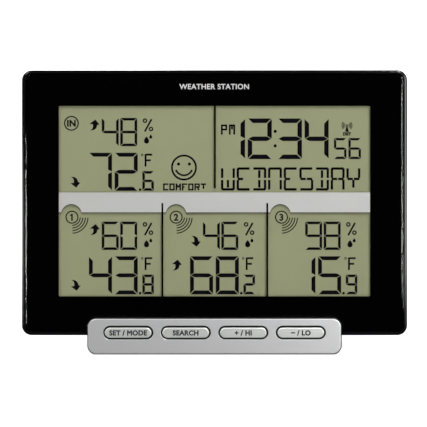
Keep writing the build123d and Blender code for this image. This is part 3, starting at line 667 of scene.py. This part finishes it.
def add_words(bm, *line):
    """Adds a line of lettering to a drawing, with its doubled points merged."""
    add_mesh(bm, words(*line))
    bmesh.ops.remove_doubles(bm, verts=bm.verts, dist=MERGE_MM * MM)


# ---- Figures of the display ----


def in_mm(*lengths):
    """Lengths in metres as millimetres."""
    return [value / MM for value in lengths]


# The bars of each figure: a top, b and c right, d foot, e and f left, g middle
FIGURES = {
    "0": "abcdef", "1": "bc", "2": "abged", "3": "abgcd", "4": "fgbc", "5": "afgcd", "6": "afgedc",
    "7": "abc", "8": "abcdefg", "9": "abcdfg",
}
# The same for letters, whose middle bar has two halves, g and n, and whose cell has inner bars too
LETTERS = {
    "W": "bcefdl", "E": "adefg", "D": "abcdil", "N": "abcef", "S": "afgncd", "A": "abcefgn", "Y": "fgnbl",
    "C": "adef", "O": "abcdef", "M": "efbcuv", "m": "aefbci", "F": "aefg", "R": "abefgnm", "T": "ail",
    "P": "abefgn",
}


def segment_outline(which, w, h, t, gap):
    """The few corners of one bar with mitred ends. w, h and t are width, height and thickness."""
    m = h / 2
    upper_left = [(0, h - gap), (t, h - t - gap), (t, m + t / 2 + gap / 2), (0, m + gap / 2)]
    top = [(gap, h), (w - gap, h), (w - t - gap, h - t), (t + gap, h - t)]
    middle = [
        (gap, m), (t + gap, m + t / 2), (w - t - gap, m + t / 2), (w - gap, m), (w - t - gap, m - t / 2),
        (t + gap, m - t / 2),
    ]
    flip_x = "bc"
    flip_y = "ecd"
    base = {"a": top, "d": top, "g": middle}.get(which, upper_left)
    return [(w - x if which in flip_x else x, h - y if which in flip_y else y) for x, y in base]


def figure(bm, text, x, y, w, h, t, gap):
    """One seven-bar figure with its lower left corner at x, y."""
    for which in FIGURES[text]:
        flat_face(bm, [(x + a, y + b) for a, b in segment_outline(which, w, h, t, gap)])


def figures(bm, text, x, y, w, h, pitch, t, gap):
    """A row of seven-bar figures."""
    for i, digit in enumerate(text):
        figure(bm, digit, x + i * pitch, y, w, h, t, gap)


def letter(bm, text, x, y, w, h, t, g):
    """One letter of thin bars in a fourteen-bar cell. g is how far a bar stays short of its corner."""
    m = h / 2
    ends = {
        "a": ((g, h - t / 2), (w - g, h - t / 2)), "d": ((g, t / 2), (w - g, t / 2)),
        "f": ((t / 2, m + g), (t / 2, h - g)), "b": ((w - t / 2, m + g), (w - t / 2, h - g)),
        "e": ((t / 2, g), (t / 2, m - g)), "c": ((w - t / 2, g), (w - t / 2, m - g)),
        "g": ((g, m), (w / 2 - g / 2, m)), "n": ((w / 2 + g / 2, m), (w - g, m)),
        "i": ((w / 2, m + g), (w / 2, h - t - g / 2)), "l": ((w / 2, t + g / 2), (w / 2, m - g)),
        "u": ((t / 2, h - t / 2), (w / 2, m - t / 3)), "v": ((w - t / 2, h - t / 2), (w / 2, m - t / 3)),
        "m": ((w - t / 2, t / 4), (w / 2 + g / 2, m - g)),
    }
    for which in LETTERS[text]:
        (x0, y0), (x1, y1) = ends[which]
        stroke(bm, (x + x0, y + y0), (x + x1, y + y1), t)


def letters(bm, text, x, y, w, h, pitch, t, g):
    """A row of thin-bar letters."""
    for i, which in enumerate(text):
        letter(bm, which, x + i * pitch, y, w, h, t, g)


def percent(bm, x, y):
    """Percent sign with open rings."""
    ring(bm, 1.15, 0.66, x - 1.6, y + 2.3, 20)
    ring(bm, 1.15, 0.66, x + 1.4, y - 1.8, 20)
    stroke(bm, (x - 1.7, y - 3.1), (x + 1.7, y + 3.1), 0.9)


def drop(bm, x, y, size):
    """A filled water drop: a disc drawn out to a point at its top."""
    start = len(bm.verts)
    disc(bm, size, x, y, 24)
    bm.verts.ensure_lookup_table()
    for vert in bm.verts[start:]:
        height = min((vert.co.y / MM - y) / size, 1.0)
        if height > 0:
            vert.co.x = (x + (vert.co.x / MM - x) * (1 - height) ** 0.5 * (1 + 0.3 * height)) * MM
            vert.co.y = (y + (height * 1.75) * size) * MM


def arrow(bm, x, y, rising):
    """A bent arrow that says a reading is rising or falling."""
    sign = 1 if rising else -1
    outline = [
        (-2.3, -2.7), (-0.3, -2.4), (0.8, -1.6), (1.3, -0.3), (1.3, 0.1), (2.5, 0.2), (0.4, 2.8),
        (-2.5, 0.6), (-0.9, 0.5), (-0.7, -0.7), (-1.1, -1.8),
    ]
    flat_face(bm, [(x + a, y + sign * b) for a, b in outline])


def unit_sign(bm, x, y):
    """Degree sign and the letter F in thin bars, from its lower left corner."""
    ring(bm, 0.62, 0.34, x - 1.3, y + 5.8, 16)
    stroke(bm, (x + 0.4, y), (x + 0.4, y + 6.3), 0.95)
    stroke(bm, (x + 0.77, y + 5.93), (x + 3.7, y + 5.9), 0.95)
    stroke(bm, (x + 0.77, y + 3.1), (x + 3.0, y + 3.1), 0.95)


def face_mood(bm, x, y):
    """Smiling face: the room is comfortable."""
    ring(bm, 6.45, 0.95, x, y, 56)
    for side in (-1, 1):
        disc(bm, 0.78, x + side * 2.7, y + 1.75)
    arc(bm, 4.35, 0.9, x, y + 0.5, 202, 338, 20)


def transmitter(bm, x, y):
    """Mast with waves: the clock follows a radio signal."""
    flat_face(bm, [(x - 0.95, y - 2.4), (x + 0.95, y - 2.4), (x + 0.25, y + 0.3), (x - 0.25, y + 0.3)])
    disc(bm, 0.45, x, y + 0.7)
    for radius in (1.1, 1.8, 2.5):
        arc(bm, radius, 0.4, x, y + 0.7, -44, 44, 6)
        arc(bm, radius, 0.4, x, y + 0.7, 136, 224, 6)


def channel_mark(bm, x, y):
    """Ring of a sensor number with its waves."""
    ring(bm, display().ring_radius / MM, 0.58, x, y, 40)
    for i in range(4):
        arc(bm, 4.1 + 1.28 * i, 0.52, x, y, -88, -2, 16)


def reading(bm, sizes, x, y, humidity, warm, tenth, humidity_up):
    """Humidity over temperature, with their signs. x, y is the lower left of the temperature."""
    gap, small_gap, thick, thin = 0.28, 0.2, 1.95, 1.32
    tenth_x, tenth_width, tenth_height, tenth_thick, tenth_gap = x + 26.2, 5.75, 9.8, 1.3, 0.18
    big = in_mm(sizes.big_width, sizes.big_height, sizes.big_pitch)
    figures(bm, warm, x - 0.3, y, *big, thick, gap)
    figure(bm, tenth, tenth_x + 0.1, y + 0.05, tenth_width, tenth_height, tenth_thick, tenth_gap)
    disc(bm, 0.68, tenth_x - 1.0, y + 0.6, 16)
    unit_sign(bm, tenth_x + 1.3, y + 12.1)
    small = in_mm(sizes.humidity_width, sizes.humidity_height, sizes.humidity_pitch)
    figures(bm, humidity, x + 6.1, y + humidity_up, *small, thin, small_gap)
    percent(bm, x + 29.2, y + humidity_up + 10.4)
    drop(bm, x + 28.4, y + humidity_up + 2.6, 1.3)
    drop(bm, x + 30.5, y + humidity_up + 4.5, 0.75)


def clock(bm, sizes, x, y):
    """Hours, minutes and seconds. x, y is the lower left of the first figure."""
    thick, gap = 2.25, 0.3
    seconds_pitch, seconds_thick, seconds_gap = 7.2, 1.2, 0.2
    hours = in_mm(sizes.clock_width, sizes.clock_height, sizes.clock_pitch)
    seconds = in_mm(sizes.seconds_width, sizes.seconds_height)
    for text, shift in (("12", 0.0), ("34", 28.3)):
        figures(bm, text, x + shift, y, *hours, thick, gap)
    for up in (6.6, 13.8):
        disc(bm, 0.8, x + 27.0, y + up, 16)
    figures(bm, "56", x + 56.2, y, *seconds, seconds_pitch, seconds_thick, seconds_gap)
    transmitter(bm, x + 62.7, y + 16.0)


def draw_display(bm, sizes, left, foot):
    """Every switched-on segment, in millimetres. left and foot are the lower left of the window."""
    first, low_row, high_row = left + 15.1, foot + 0.9, foot + 52.4
    reading(bm, sizes, first, high_row, "48", "72", "6", 22.2)
    sensors = ((0.0, "60", "43", "8"), (50.3, "46", "68", "2"), (101.2, "98", "15", "9"))
    for column, humidity, warm, tenth in sensors:
        reading(bm, sizes, first + column, low_row, humidity, warm, tenth, 22.1)
        channel_mark(bm, left + 6.4 + column * 1.03, foot + 39.3)
    stroke(bm, (left + 5.45, foot + 40.05), (left + 6.45, foot + 40.8), 0.55)  # flag of the figure 1
    ring(bm, 3.7, 0.62, left + 6.1, foot + 86.0, 48)
    for x, y, rising in (
        (17.6, 85.1, True), (8.1, 56.8, False), (17.8, 33.1, True), (8.3, 5.5, False), (68.0, 27.4, False),
        (58.6, 15.4, True),
    ):
        arrow(bm, left + x, foot + y, rising)
    face_mood(bm, left + 62.1, foot + 64.0)
    clock_x = left + 80.5
    clock(bm, sizes, clock_x, foot + 68.2)
    # Width, height, pitch and thickness of the letters, and how far each bar stays short of its corner
    weekday = (*in_mm(sizes.letter_width, sizes.letter_height, sizes.letter_pitch), 1.2, 0.5)
    half_day = (3.1, 5.0, 3.95, 0.88, 0.0)
    mood = (2.7, 3.5, 3.12, 0.76, 0.0)
    letters(bm, "WEDNESDAY", clock_x, foot + 52.55, *weekday)
    letters(bm, "Pm", clock_x, foot + 80.4, *half_day)
    letters(bm, "COMFORT", left + 51.7, foot + 52.6, *mood)


# ---- Operators ----


class STATION_OT_finishes(Operator):
    """Give every carried-over piece its material"""

    bl_idname = "station.finishes"
    bl_label = "Finish the Pieces"

    def execute(self, context):
        by_slot = {
            "black_case": piano_black_abs(),
            "matt_case": grained_black_abs(),
            "clear_panel": polished_acrylic(),
            "mask_print": black_screen_print(),
            "silver_print": silver_screen_print(),
            "polariser": display_ground("matt_polariser_film"),
            "display_glass": display_float_glass(),
            "cell_seal": moulded("epoxy_seal", "9a9c80"),
            "reflector": display_ground("display_reflector_film"),
            "white_frame": moulded("white_styrene", "e6e6e0"),
            "silver_plastic": silver_pod_paint(),
            "key_plastic": silver_key_paint(),
            "silicone": soft_rubber("grey_silicone", "9c9ea0", 0.5),
            "zebra": soft_rubber("layered_elastomer", "8f9094", 0.6),
            "carbon": soft_rubber("carbon_silicone", "151515"),
            "circuit_board": solder_mask_board(),
            "ribbon": moulded("ribbon_pvc", "c4c4c0", 0.4),
            "screws": rolled_metal("zinc_plated_steel", "b9bbbf"),
            "resin": moulded("potting_resin", "0b0b0c", 0.2),
            "tinned_steel": rolled_metal("tinned_steel", "c8c9ca", 0.22),
            "capacitor_sleeve": moulded("capacitor_sleeve", "1b2740", 0.3),
            "aerial_wire": moulded("aerial_pvc", "b8b8b8", 0.4),
            "sensor_shell": moulded("sensor_polymer", "d5dbe2"),
            "ferrite": sintered_ferrite(),
            "winding": enamelled_copper(),
            "red_wire": moulded("red_pvc", "b01a1a", 0.35),
            "black_wire": moulded("black_pvc", "161616", 0.35),
            "label": polyester_label(),
            "nickel": rolled_metal("nickel_plated_spring_steel", "c9c3b6", 0.2),
            "rubber": soft_rubber("matt_black_rubber", "141414"),
        }
        for part in frame["record"]["subparts"]:
            node, slot = part["node"], part["material_slot"]
            materials = frame["nodes"][node].data.materials
            materials.clear()
            materials.append(cell_jacket(node) if slot == "cell_jacket" else by_slot[slot])
        return {"FINISHED"}


class STATION_OT_segments(Operator):
    """Draw the switched-on segments on the display's polariser"""

    bl_idname = "station.segments"
    bl_label = "Display Segments"

    def execute(self, context):
        left, foot = WINDOW_LEFT_MM, WINDOW_LOW_MM
        bm = bmesh.new()
        draw_display(bm, display(), left, foot)
        thicken(bm, SEGMENT_DEPTH_MM * MM)
        for text, height, x, y, weight in (  # in millimetres from the window's corner
            ("IN", 3.1, 6.1, 84.55, 0.2), ("1", 3.3, 6.4, 37.65, 0.16), ("2", 3.3, 58.2, 37.65, 0.16),
            ("3", 3.3, 110.6, 37.65, 0.16), ("DST", 1.5, 143.2, 80.0, 0.15),
        ):
            add_words(bm, text, height, left + x, foot + y, weight, SEGMENT_DEPTH_MM)
        piece("display_segments", bm, on_face(0, 0, SEGMENT_FRONT), segment_dye(), "station")
        return {"FINISHED"}


class STATION_OT_painted_shadow(Operator):
    """Lay painted shadow on the display: a fine dark line under the silver band and at the window's top edge,
    where their shade falls
    """

    bl_idname = "station.undercoat"
    bl_label = "Painted Shadow"

    def execute(self, context):
        top = WINDOW_LOW_MM + WINDOW_HIGH_MM
        # Painted shadow in two steps: a dark line hard against the edge, and a wider, paler fade beyond it
        coats = (("painted_shadow_line", 0.38, "2b2d23"), ("painted_shadow_edge", 1.1, "7a7d62"))
        for i, (name, reach, code) in enumerate(coats):
            bm = bmesh.new()
            bm.from_mesh(frame["nodes"]["silver_band"].data)
            bm.transform(FACE.inverted())
            bmesh.ops.remove_doubles(bm, verts=bm.verts, dist=MERGE_MM * MM)
            bm.normal_update()
            hidden = [face for face in bm.faces if face.normal.z < 0.5]  # all but the front
            bmesh.ops.delete(bm, geom=hidden, context="FACES")
            # Moved down, the band's front takes the shape of the shadow it casts; the strip below is the painted
            # shadow of the window's top edge
            bmesh.ops.translate(bm, verts=bm.verts, vec=(0, -reach * MM, -BAND_HIGH.z))
            stroke(bm, (BAND_LOW.x / MM, top), (BAND_HIGH.x / MM, top), 2 * reach)
            thicken(bm, INK_MM * MM)
            behind = BAND_LOW.z - (2 * i + 1) * EPSILON_MM * MM
            piece(name, bm, on_face(0, 0, behind), painted_shadow_ink(name, code), "station")
        return {"FINISHED"}


class STATION_OT_legends(Operator):
    """Print the words on the keys, over the window, on the label and on the battery cover"""

    bl_idname = "station.legends"
    bl_label = "Printed Legends"

    def execute(self, context):
        ink, white = grey_pad_print(), white_screen_print()
        height = legends().key_height / MM
        for key, text in KEY_LEGENDS.items():
            low, high = face_box(f"key_{key}")
            middle = (low + high) / 2
            bm = bmesh.new()
            add_words(bm, text, height, 0, -height / 2, 0.17, 0.03)
            place = on_face(middle.x, middle.y, high.z + EPSILON_MM * MM)
            piece(f"legend_{key}", bm, place, ink, f"key_{key}")
        bm = bmesh.new()
        add_words(bm, "WEATHER STATION", legends().bezel_height / MM, 0, 0, 0.07, 0.01)
        place = on_face(0, GLASS_HIGH.y + BEZEL_RISE_MM * MM, MASK_FRONT + EPSILON_MM * MM)
        piece("bezel_legend", bm, place, white, "station")
        self.print_label(ink)
        self.print_cover(white)
        return {"FINISHED"}

    def print_label(self, ink):
        """Generic words and rules on the sticker."""
        low, high = face_box("rear_label")
        bm = bmesh.new()
        for text, height, y in (("HOME WEATHER STATION", 1.5, 3.6), ("3 × AA  4.5 V", 1.5, -5.6)):
            add_words(bm, text, height, 0, y, 0.04, INK_MM)
        rules = bmesh.new()
        for y in (2.0, -2.4):
            stroke(rules, (-RULE_REACH_MM, y), (RULE_REACH_MM, y), 0.2)
        for y, reach in ((0.9, 13.0), (0.0, 9.0), (-0.9, 11.0)):
            stroke(rules, (-RULE_REACH_MM, y), (reach - RULE_REACH_MM, y), 0.35)
        thicken(rules, INK_MM * MM)
        add_drawing(bm, rules)
        piece("label_print", bm, on_back(low, high), ink, "station")

    def print_cover(self, ink):
        """Open mark on the battery cover: an arrowhead and a word."""
        low, high = face_box("battery_cover")
        bm = bmesh.new()
        flat_face(bm, [(-2.4, 8.6), (2.4, 8.6), (0.0, 5.4)])
        thicken(bm, INK_MM * MM)
        add_words(bm, "OPEN", 2.0, 0, 1.8, 0.05, INK_MM)
        flat_back = Vector((low.x, low.y, low.z + RIB_HEIGHT_MM * MM))
        piece("cover_print", bm, on_back(flat_back, high), ink, "cover")


class STATION_OT_key_seals(Operator):
    """Fit the black rubber lip that closes the gap round each key, dark enough to serve as painted shade in the
    gap
    """

    bl_idname = "station.key_seals"
    bl_label = "Key Seals"

    def execute(self, context):
        rubber = black_key_seal_and_gap_shade()
        sizes = key_sizes()
        for key in KEY_LEGENDS:
            middle = face_middle(f"key_{key}")
            bm = bmesh.new()
            outer = stadium(bm, sizes.width + 2 * sizes.gap, sizes.height + 2 * sizes.gap)
            wall = sizes.gap - 2 * SEAL_PLAY_MM * MM
            bmesh.ops.inset_region(
                bm, faces=[outer], thickness=wall, use_even_offset=True, use_boundary=True
            )
            bmesh.ops.delete(bm, geom=[outer], context="FACES_ONLY")
            thicken(bm, SEAL_DEPTH_MM * MM)
            place = on_face(middle.x, middle.y, POD_HIGH.z - SEAL_RECESS_MM * MM)
            piece(f"seal_{key}", bm, place, rubber, "station")
        return {"FINISHED"}


class STATION_OT_key_domes(Operator):
    """Fit the silicone domes that give way under the keys, with their carbon pills"""

    bl_idname = "station.key_domes"
    bl_label = "Key Domes"

    def execute(self, context):
        rubber = soft_rubber("grey_silicone_dome", "9c9ea0", 0.5)
        carbon = soft_rubber("carbon_pill", "151515")
        pill_low, pill_high = face_box("contact_pills")
        pill_radius = (pill_high.y - pill_low.y) / 2
        for key in KEY_LEGENDS:
            name = f"key_dome_{key}"
            low, high = face_box(name)
            middle = (low + high) / 2
            bm = bmesh.new()
            bm.from_mesh(frame["nodes"][name].data)
            bmesh.ops.remove_doubles(bm, verts=bm.verts, dist=MERGE_MM * MM)
            dome = piece(f"dome_{key}", bm, Matrix.Identity(4), rubber, "station")
            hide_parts(name)
            bm = bmesh.new()
            bmesh.ops.create_cone(
                bm, cap_ends=True, segments=24, radius1=pill_radius, radius2=pill_radius,
                depth=pill_high.z - pill_low.z,
            )
            rims = [e for e in bm.edges if abs(e.verts[0].co.z - e.verts[1].co.z) < EPSILON_MM * MM]
            bmesh.ops.bevel(
                bm, geom=rims, offset=PILL_ROUND_MM * MM, segments=2, profile=0.5, affect="EDGES",
                material=-1,
            )
            place = on_face(middle.x, middle.y, (pill_low.z + pill_high.z) / 2)
            pill = piece(f"pill_{key}", bm, place, carbon, "station")
            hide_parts("contact_pills")
            for soft in (dome, pill):
                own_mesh(soft)
        return {"FINISHED"}


class STATION_OT_springs(Operator):
    """Wind the conical contact spring at the negative end of each cell"""

    bl_idname = "station.springs"
    bl_label = "Battery Springs"

    def execute(self, context):
        nickel = rolled_metal("nickel_plated_music_wire", "c9c3b6", 0.2)
        plate_low, plate_high = face_box("contact_plates")
        for i in range(1, 4):
            low, high = face_box(f"battery_{i}")
            middle = (low + high) / 2
            left_gap, right_gap = low.x - plate_low.x, plate_high.x - high.x
            wire = SPRING_WIRE_MM * MM
            plate = PLATE_MM * MM + wire
            if left_gap > right_gap:
                wide_x, narrow_x = plate_low.x + plate, low.x - wire
            else:
                wide_x, narrow_x = plate_high.x - plate, high.x + wire
            bm = bmesh.new()
            add_mesh(bm, self.wind(wide_x, narrow_x, middle))
            bmesh.ops.remove_doubles(bm, verts=bm.verts, dist=MERGE_MM * MM)
            bmesh.ops.recalc_face_normals(bm, faces=bm.faces)
            spring = piece(f"spring_{i}", bm, FACE, nickel, "station")
            for polygon in spring.data.polygons:
                polygon.use_smooth = True
            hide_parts("battery_springs")
        return {"FINISHED"}

    def wind(self, wide_x, narrow_x, middle):
        """A conical helix of wire from the plate to the cell, in face coordinates."""
        steps = SPRING_TURNS * STEPS_PER_TURN
        curve = bpy.data.curves.new("spring", "CURVE")
        curve.dimensions = "3D"
        curve.bevel_depth = SPRING_WIRE_MM * MM
        curve.bevel_resolution = 3
        curve.use_fill_caps = True
        line = curve.splines.new("POLY")
        line.points.add(steps)
        for k, point in enumerate(line.points):
            share = k / steps
            turn = 2 * pi * k / STEPS_PER_TURN
            radius = (SPRING_WIDE_MM + (SPRING_NARROW_MM - SPRING_WIDE_MM) * share) * MM
            x = wide_x + (narrow_x - wide_x) * share
            point.co = (x, middle.y + radius * cos(turn), middle.z + radius * sin(turn), 1)
        return baked(curve)


class STATION_OT_stage(Operator):
    """Set up the floor, the lights and the camera"""

    bl_idname = "station.stage"
    bl_label = "Floor, Lights and Camera"

    def execute(self, context):
        self.lay_floor(context.scene)
        self.light_room(context.scene)
        self.hang_lamps(context.scene)
        self.set_camera(context.scene)
        context.scene.view_settings.view_transform = "Standard"
        return {"FINISHED"}

    def lay_floor(self, scene):
        """A matt lit table that gloss near it doesn't mirror, as with black cards round it."""
        size = staging()
        bm = bmesh.new()
        bmesh.ops.create_grid(bm, x_segments=1, y_segments=1, size=size.floor_width / 2)
        mesh = bpy.data.meshes.new("floor")
        bm.to_mesh(mesh)
        bm.free()
        material, tree, output = new_material("pale_floor")
        shader = add_node(
            tree, "ShaderNodeBsdfPrincipled",
            sockets={
                "Base Color": (*size.tint, 1.0), "Roughness": 0.9, "Specular IOR Level": 0.1,
                "Emission Color": (1, 1, 1, 1), "Emission Strength": size.floor_glow,
            },
        )
        tree.links.new(shader.outputs["BSDF"], output.inputs["Surface"])
        mesh.materials.append(material)
        floor = bpy.data.objects.new("floor", mesh)
        scene.collection.objects.link(floor)
        floor.visible_glossy = False

    def light_room(self, scene):
        """Even white light from all round, which gloss doesn't mirror either."""
        world = bpy.data.worlds.new("studio")
        world.use_nodes = True
        background = world.node_tree.nodes["Background"]
        background.inputs["Color"].default_value = (1, 1, 1, 1)
        background.inputs["Strength"].default_value = staging().room_glow
        world.cycles_visibility.glossy = False
        scene.world = world

    def hang_lamps(self, scene):
        """Soft boxes in front, a narrow strip for each rim, and one lamp behind."""
        aim = FACE @ Vector((0, LENS_MIDDLE.y, LENS_FRONT))
        for name, power, width, height, across, up, out in LAMPS:
            lamp = bpy.data.lights.new(name, "AREA")
            lamp.energy = power
            lamp.shape = "RECTANGLE"
            lamp.size, lamp.size_y = width, height
            holder = bpy.data.objects.new(name, lamp)
            scene.collection.objects.link(holder)
            holder.location = aim + ACROSS * across + RISE * up - INTO * out
            holder.rotation_euler = (holder.location - aim).to_track_quat("Z", "Y").to_euler()

    def set_camera(self, scene):
        """A long lens, square to the face."""
        size = staging()
        lens = bpy.data.cameras.new("camera")
        lens.lens = size.lens / MM
        lens.sensor_width = SENSOR_WIDTH_MM
        camera = bpy.data.objects.new("camera", lens)
        scene.collection.objects.link(camera)
        distance = size.view_width * lens.lens / lens.sensor_width
        across, up = VIEW_MIDDLE_MM
        middle = FACE @ Vector((across * MM, POD_LOW.y + up * MM, LENS_FRONT))
        camera.matrix_world = Matrix.Translation(middle - INTO * distance) @ FACE
        scene.camera = camera


OPERATORS = (
    STATION_OT_stage, STATION_OT_finishes, STATION_OT_segments, STATION_OT_painted_shadow, STATION_OT_legends,
    STATION_OT_key_seals, STATION_OT_key_domes, STATION_OT_springs,
)


class STATION_PT_panel(Panel):
    """Lists the operators of the weather station"""

    bl_idname = "STATION_PT_panel"
    bl_label = "Weather Station"
    bl_space_type = "VIEW_3D"
    bl_region_type = "UI"
    bl_category = "Station"

    def draw(self, context):
        for operator in OPERATORS:
            self.layout.operator(operator.bl_idname)


GROUPS = {
    "station_display": DisplaySizes, "station_keys": KeySizes, "station_legends": LegendSizes,
    "station_finish": FinishColours, "station_stage": StageSizes,
}
CLASSES = (*GROUPS.values(), *OPERATORS, STATION_PT_panel)


def register():
    for cls in CLASSES:
        bpy.utils.register_class(cls)
    for name, group in GROUPS.items():
        setattr(bpy.types.Scene, name, PointerProperty(type=group))


def unregister():
    for name in GROUPS:
        delattr(bpy.types.Scene, name)
    for cls in reversed(CLASSES):
        bpy.utils.unregister_class(cls)


def main():
    register()
    bpy.ops.station.stage()
    bpy.ops.station.finishes()
    bpy.ops.station.segments()
    bpy.ops.station.undercoat()
    bpy.ops.station.legends()
    bpy.ops.station.key_seals()
    bpy.ops.station.key_domes()
    bpy.ops.station.springs()


if __name__ == "__main__":
    main()
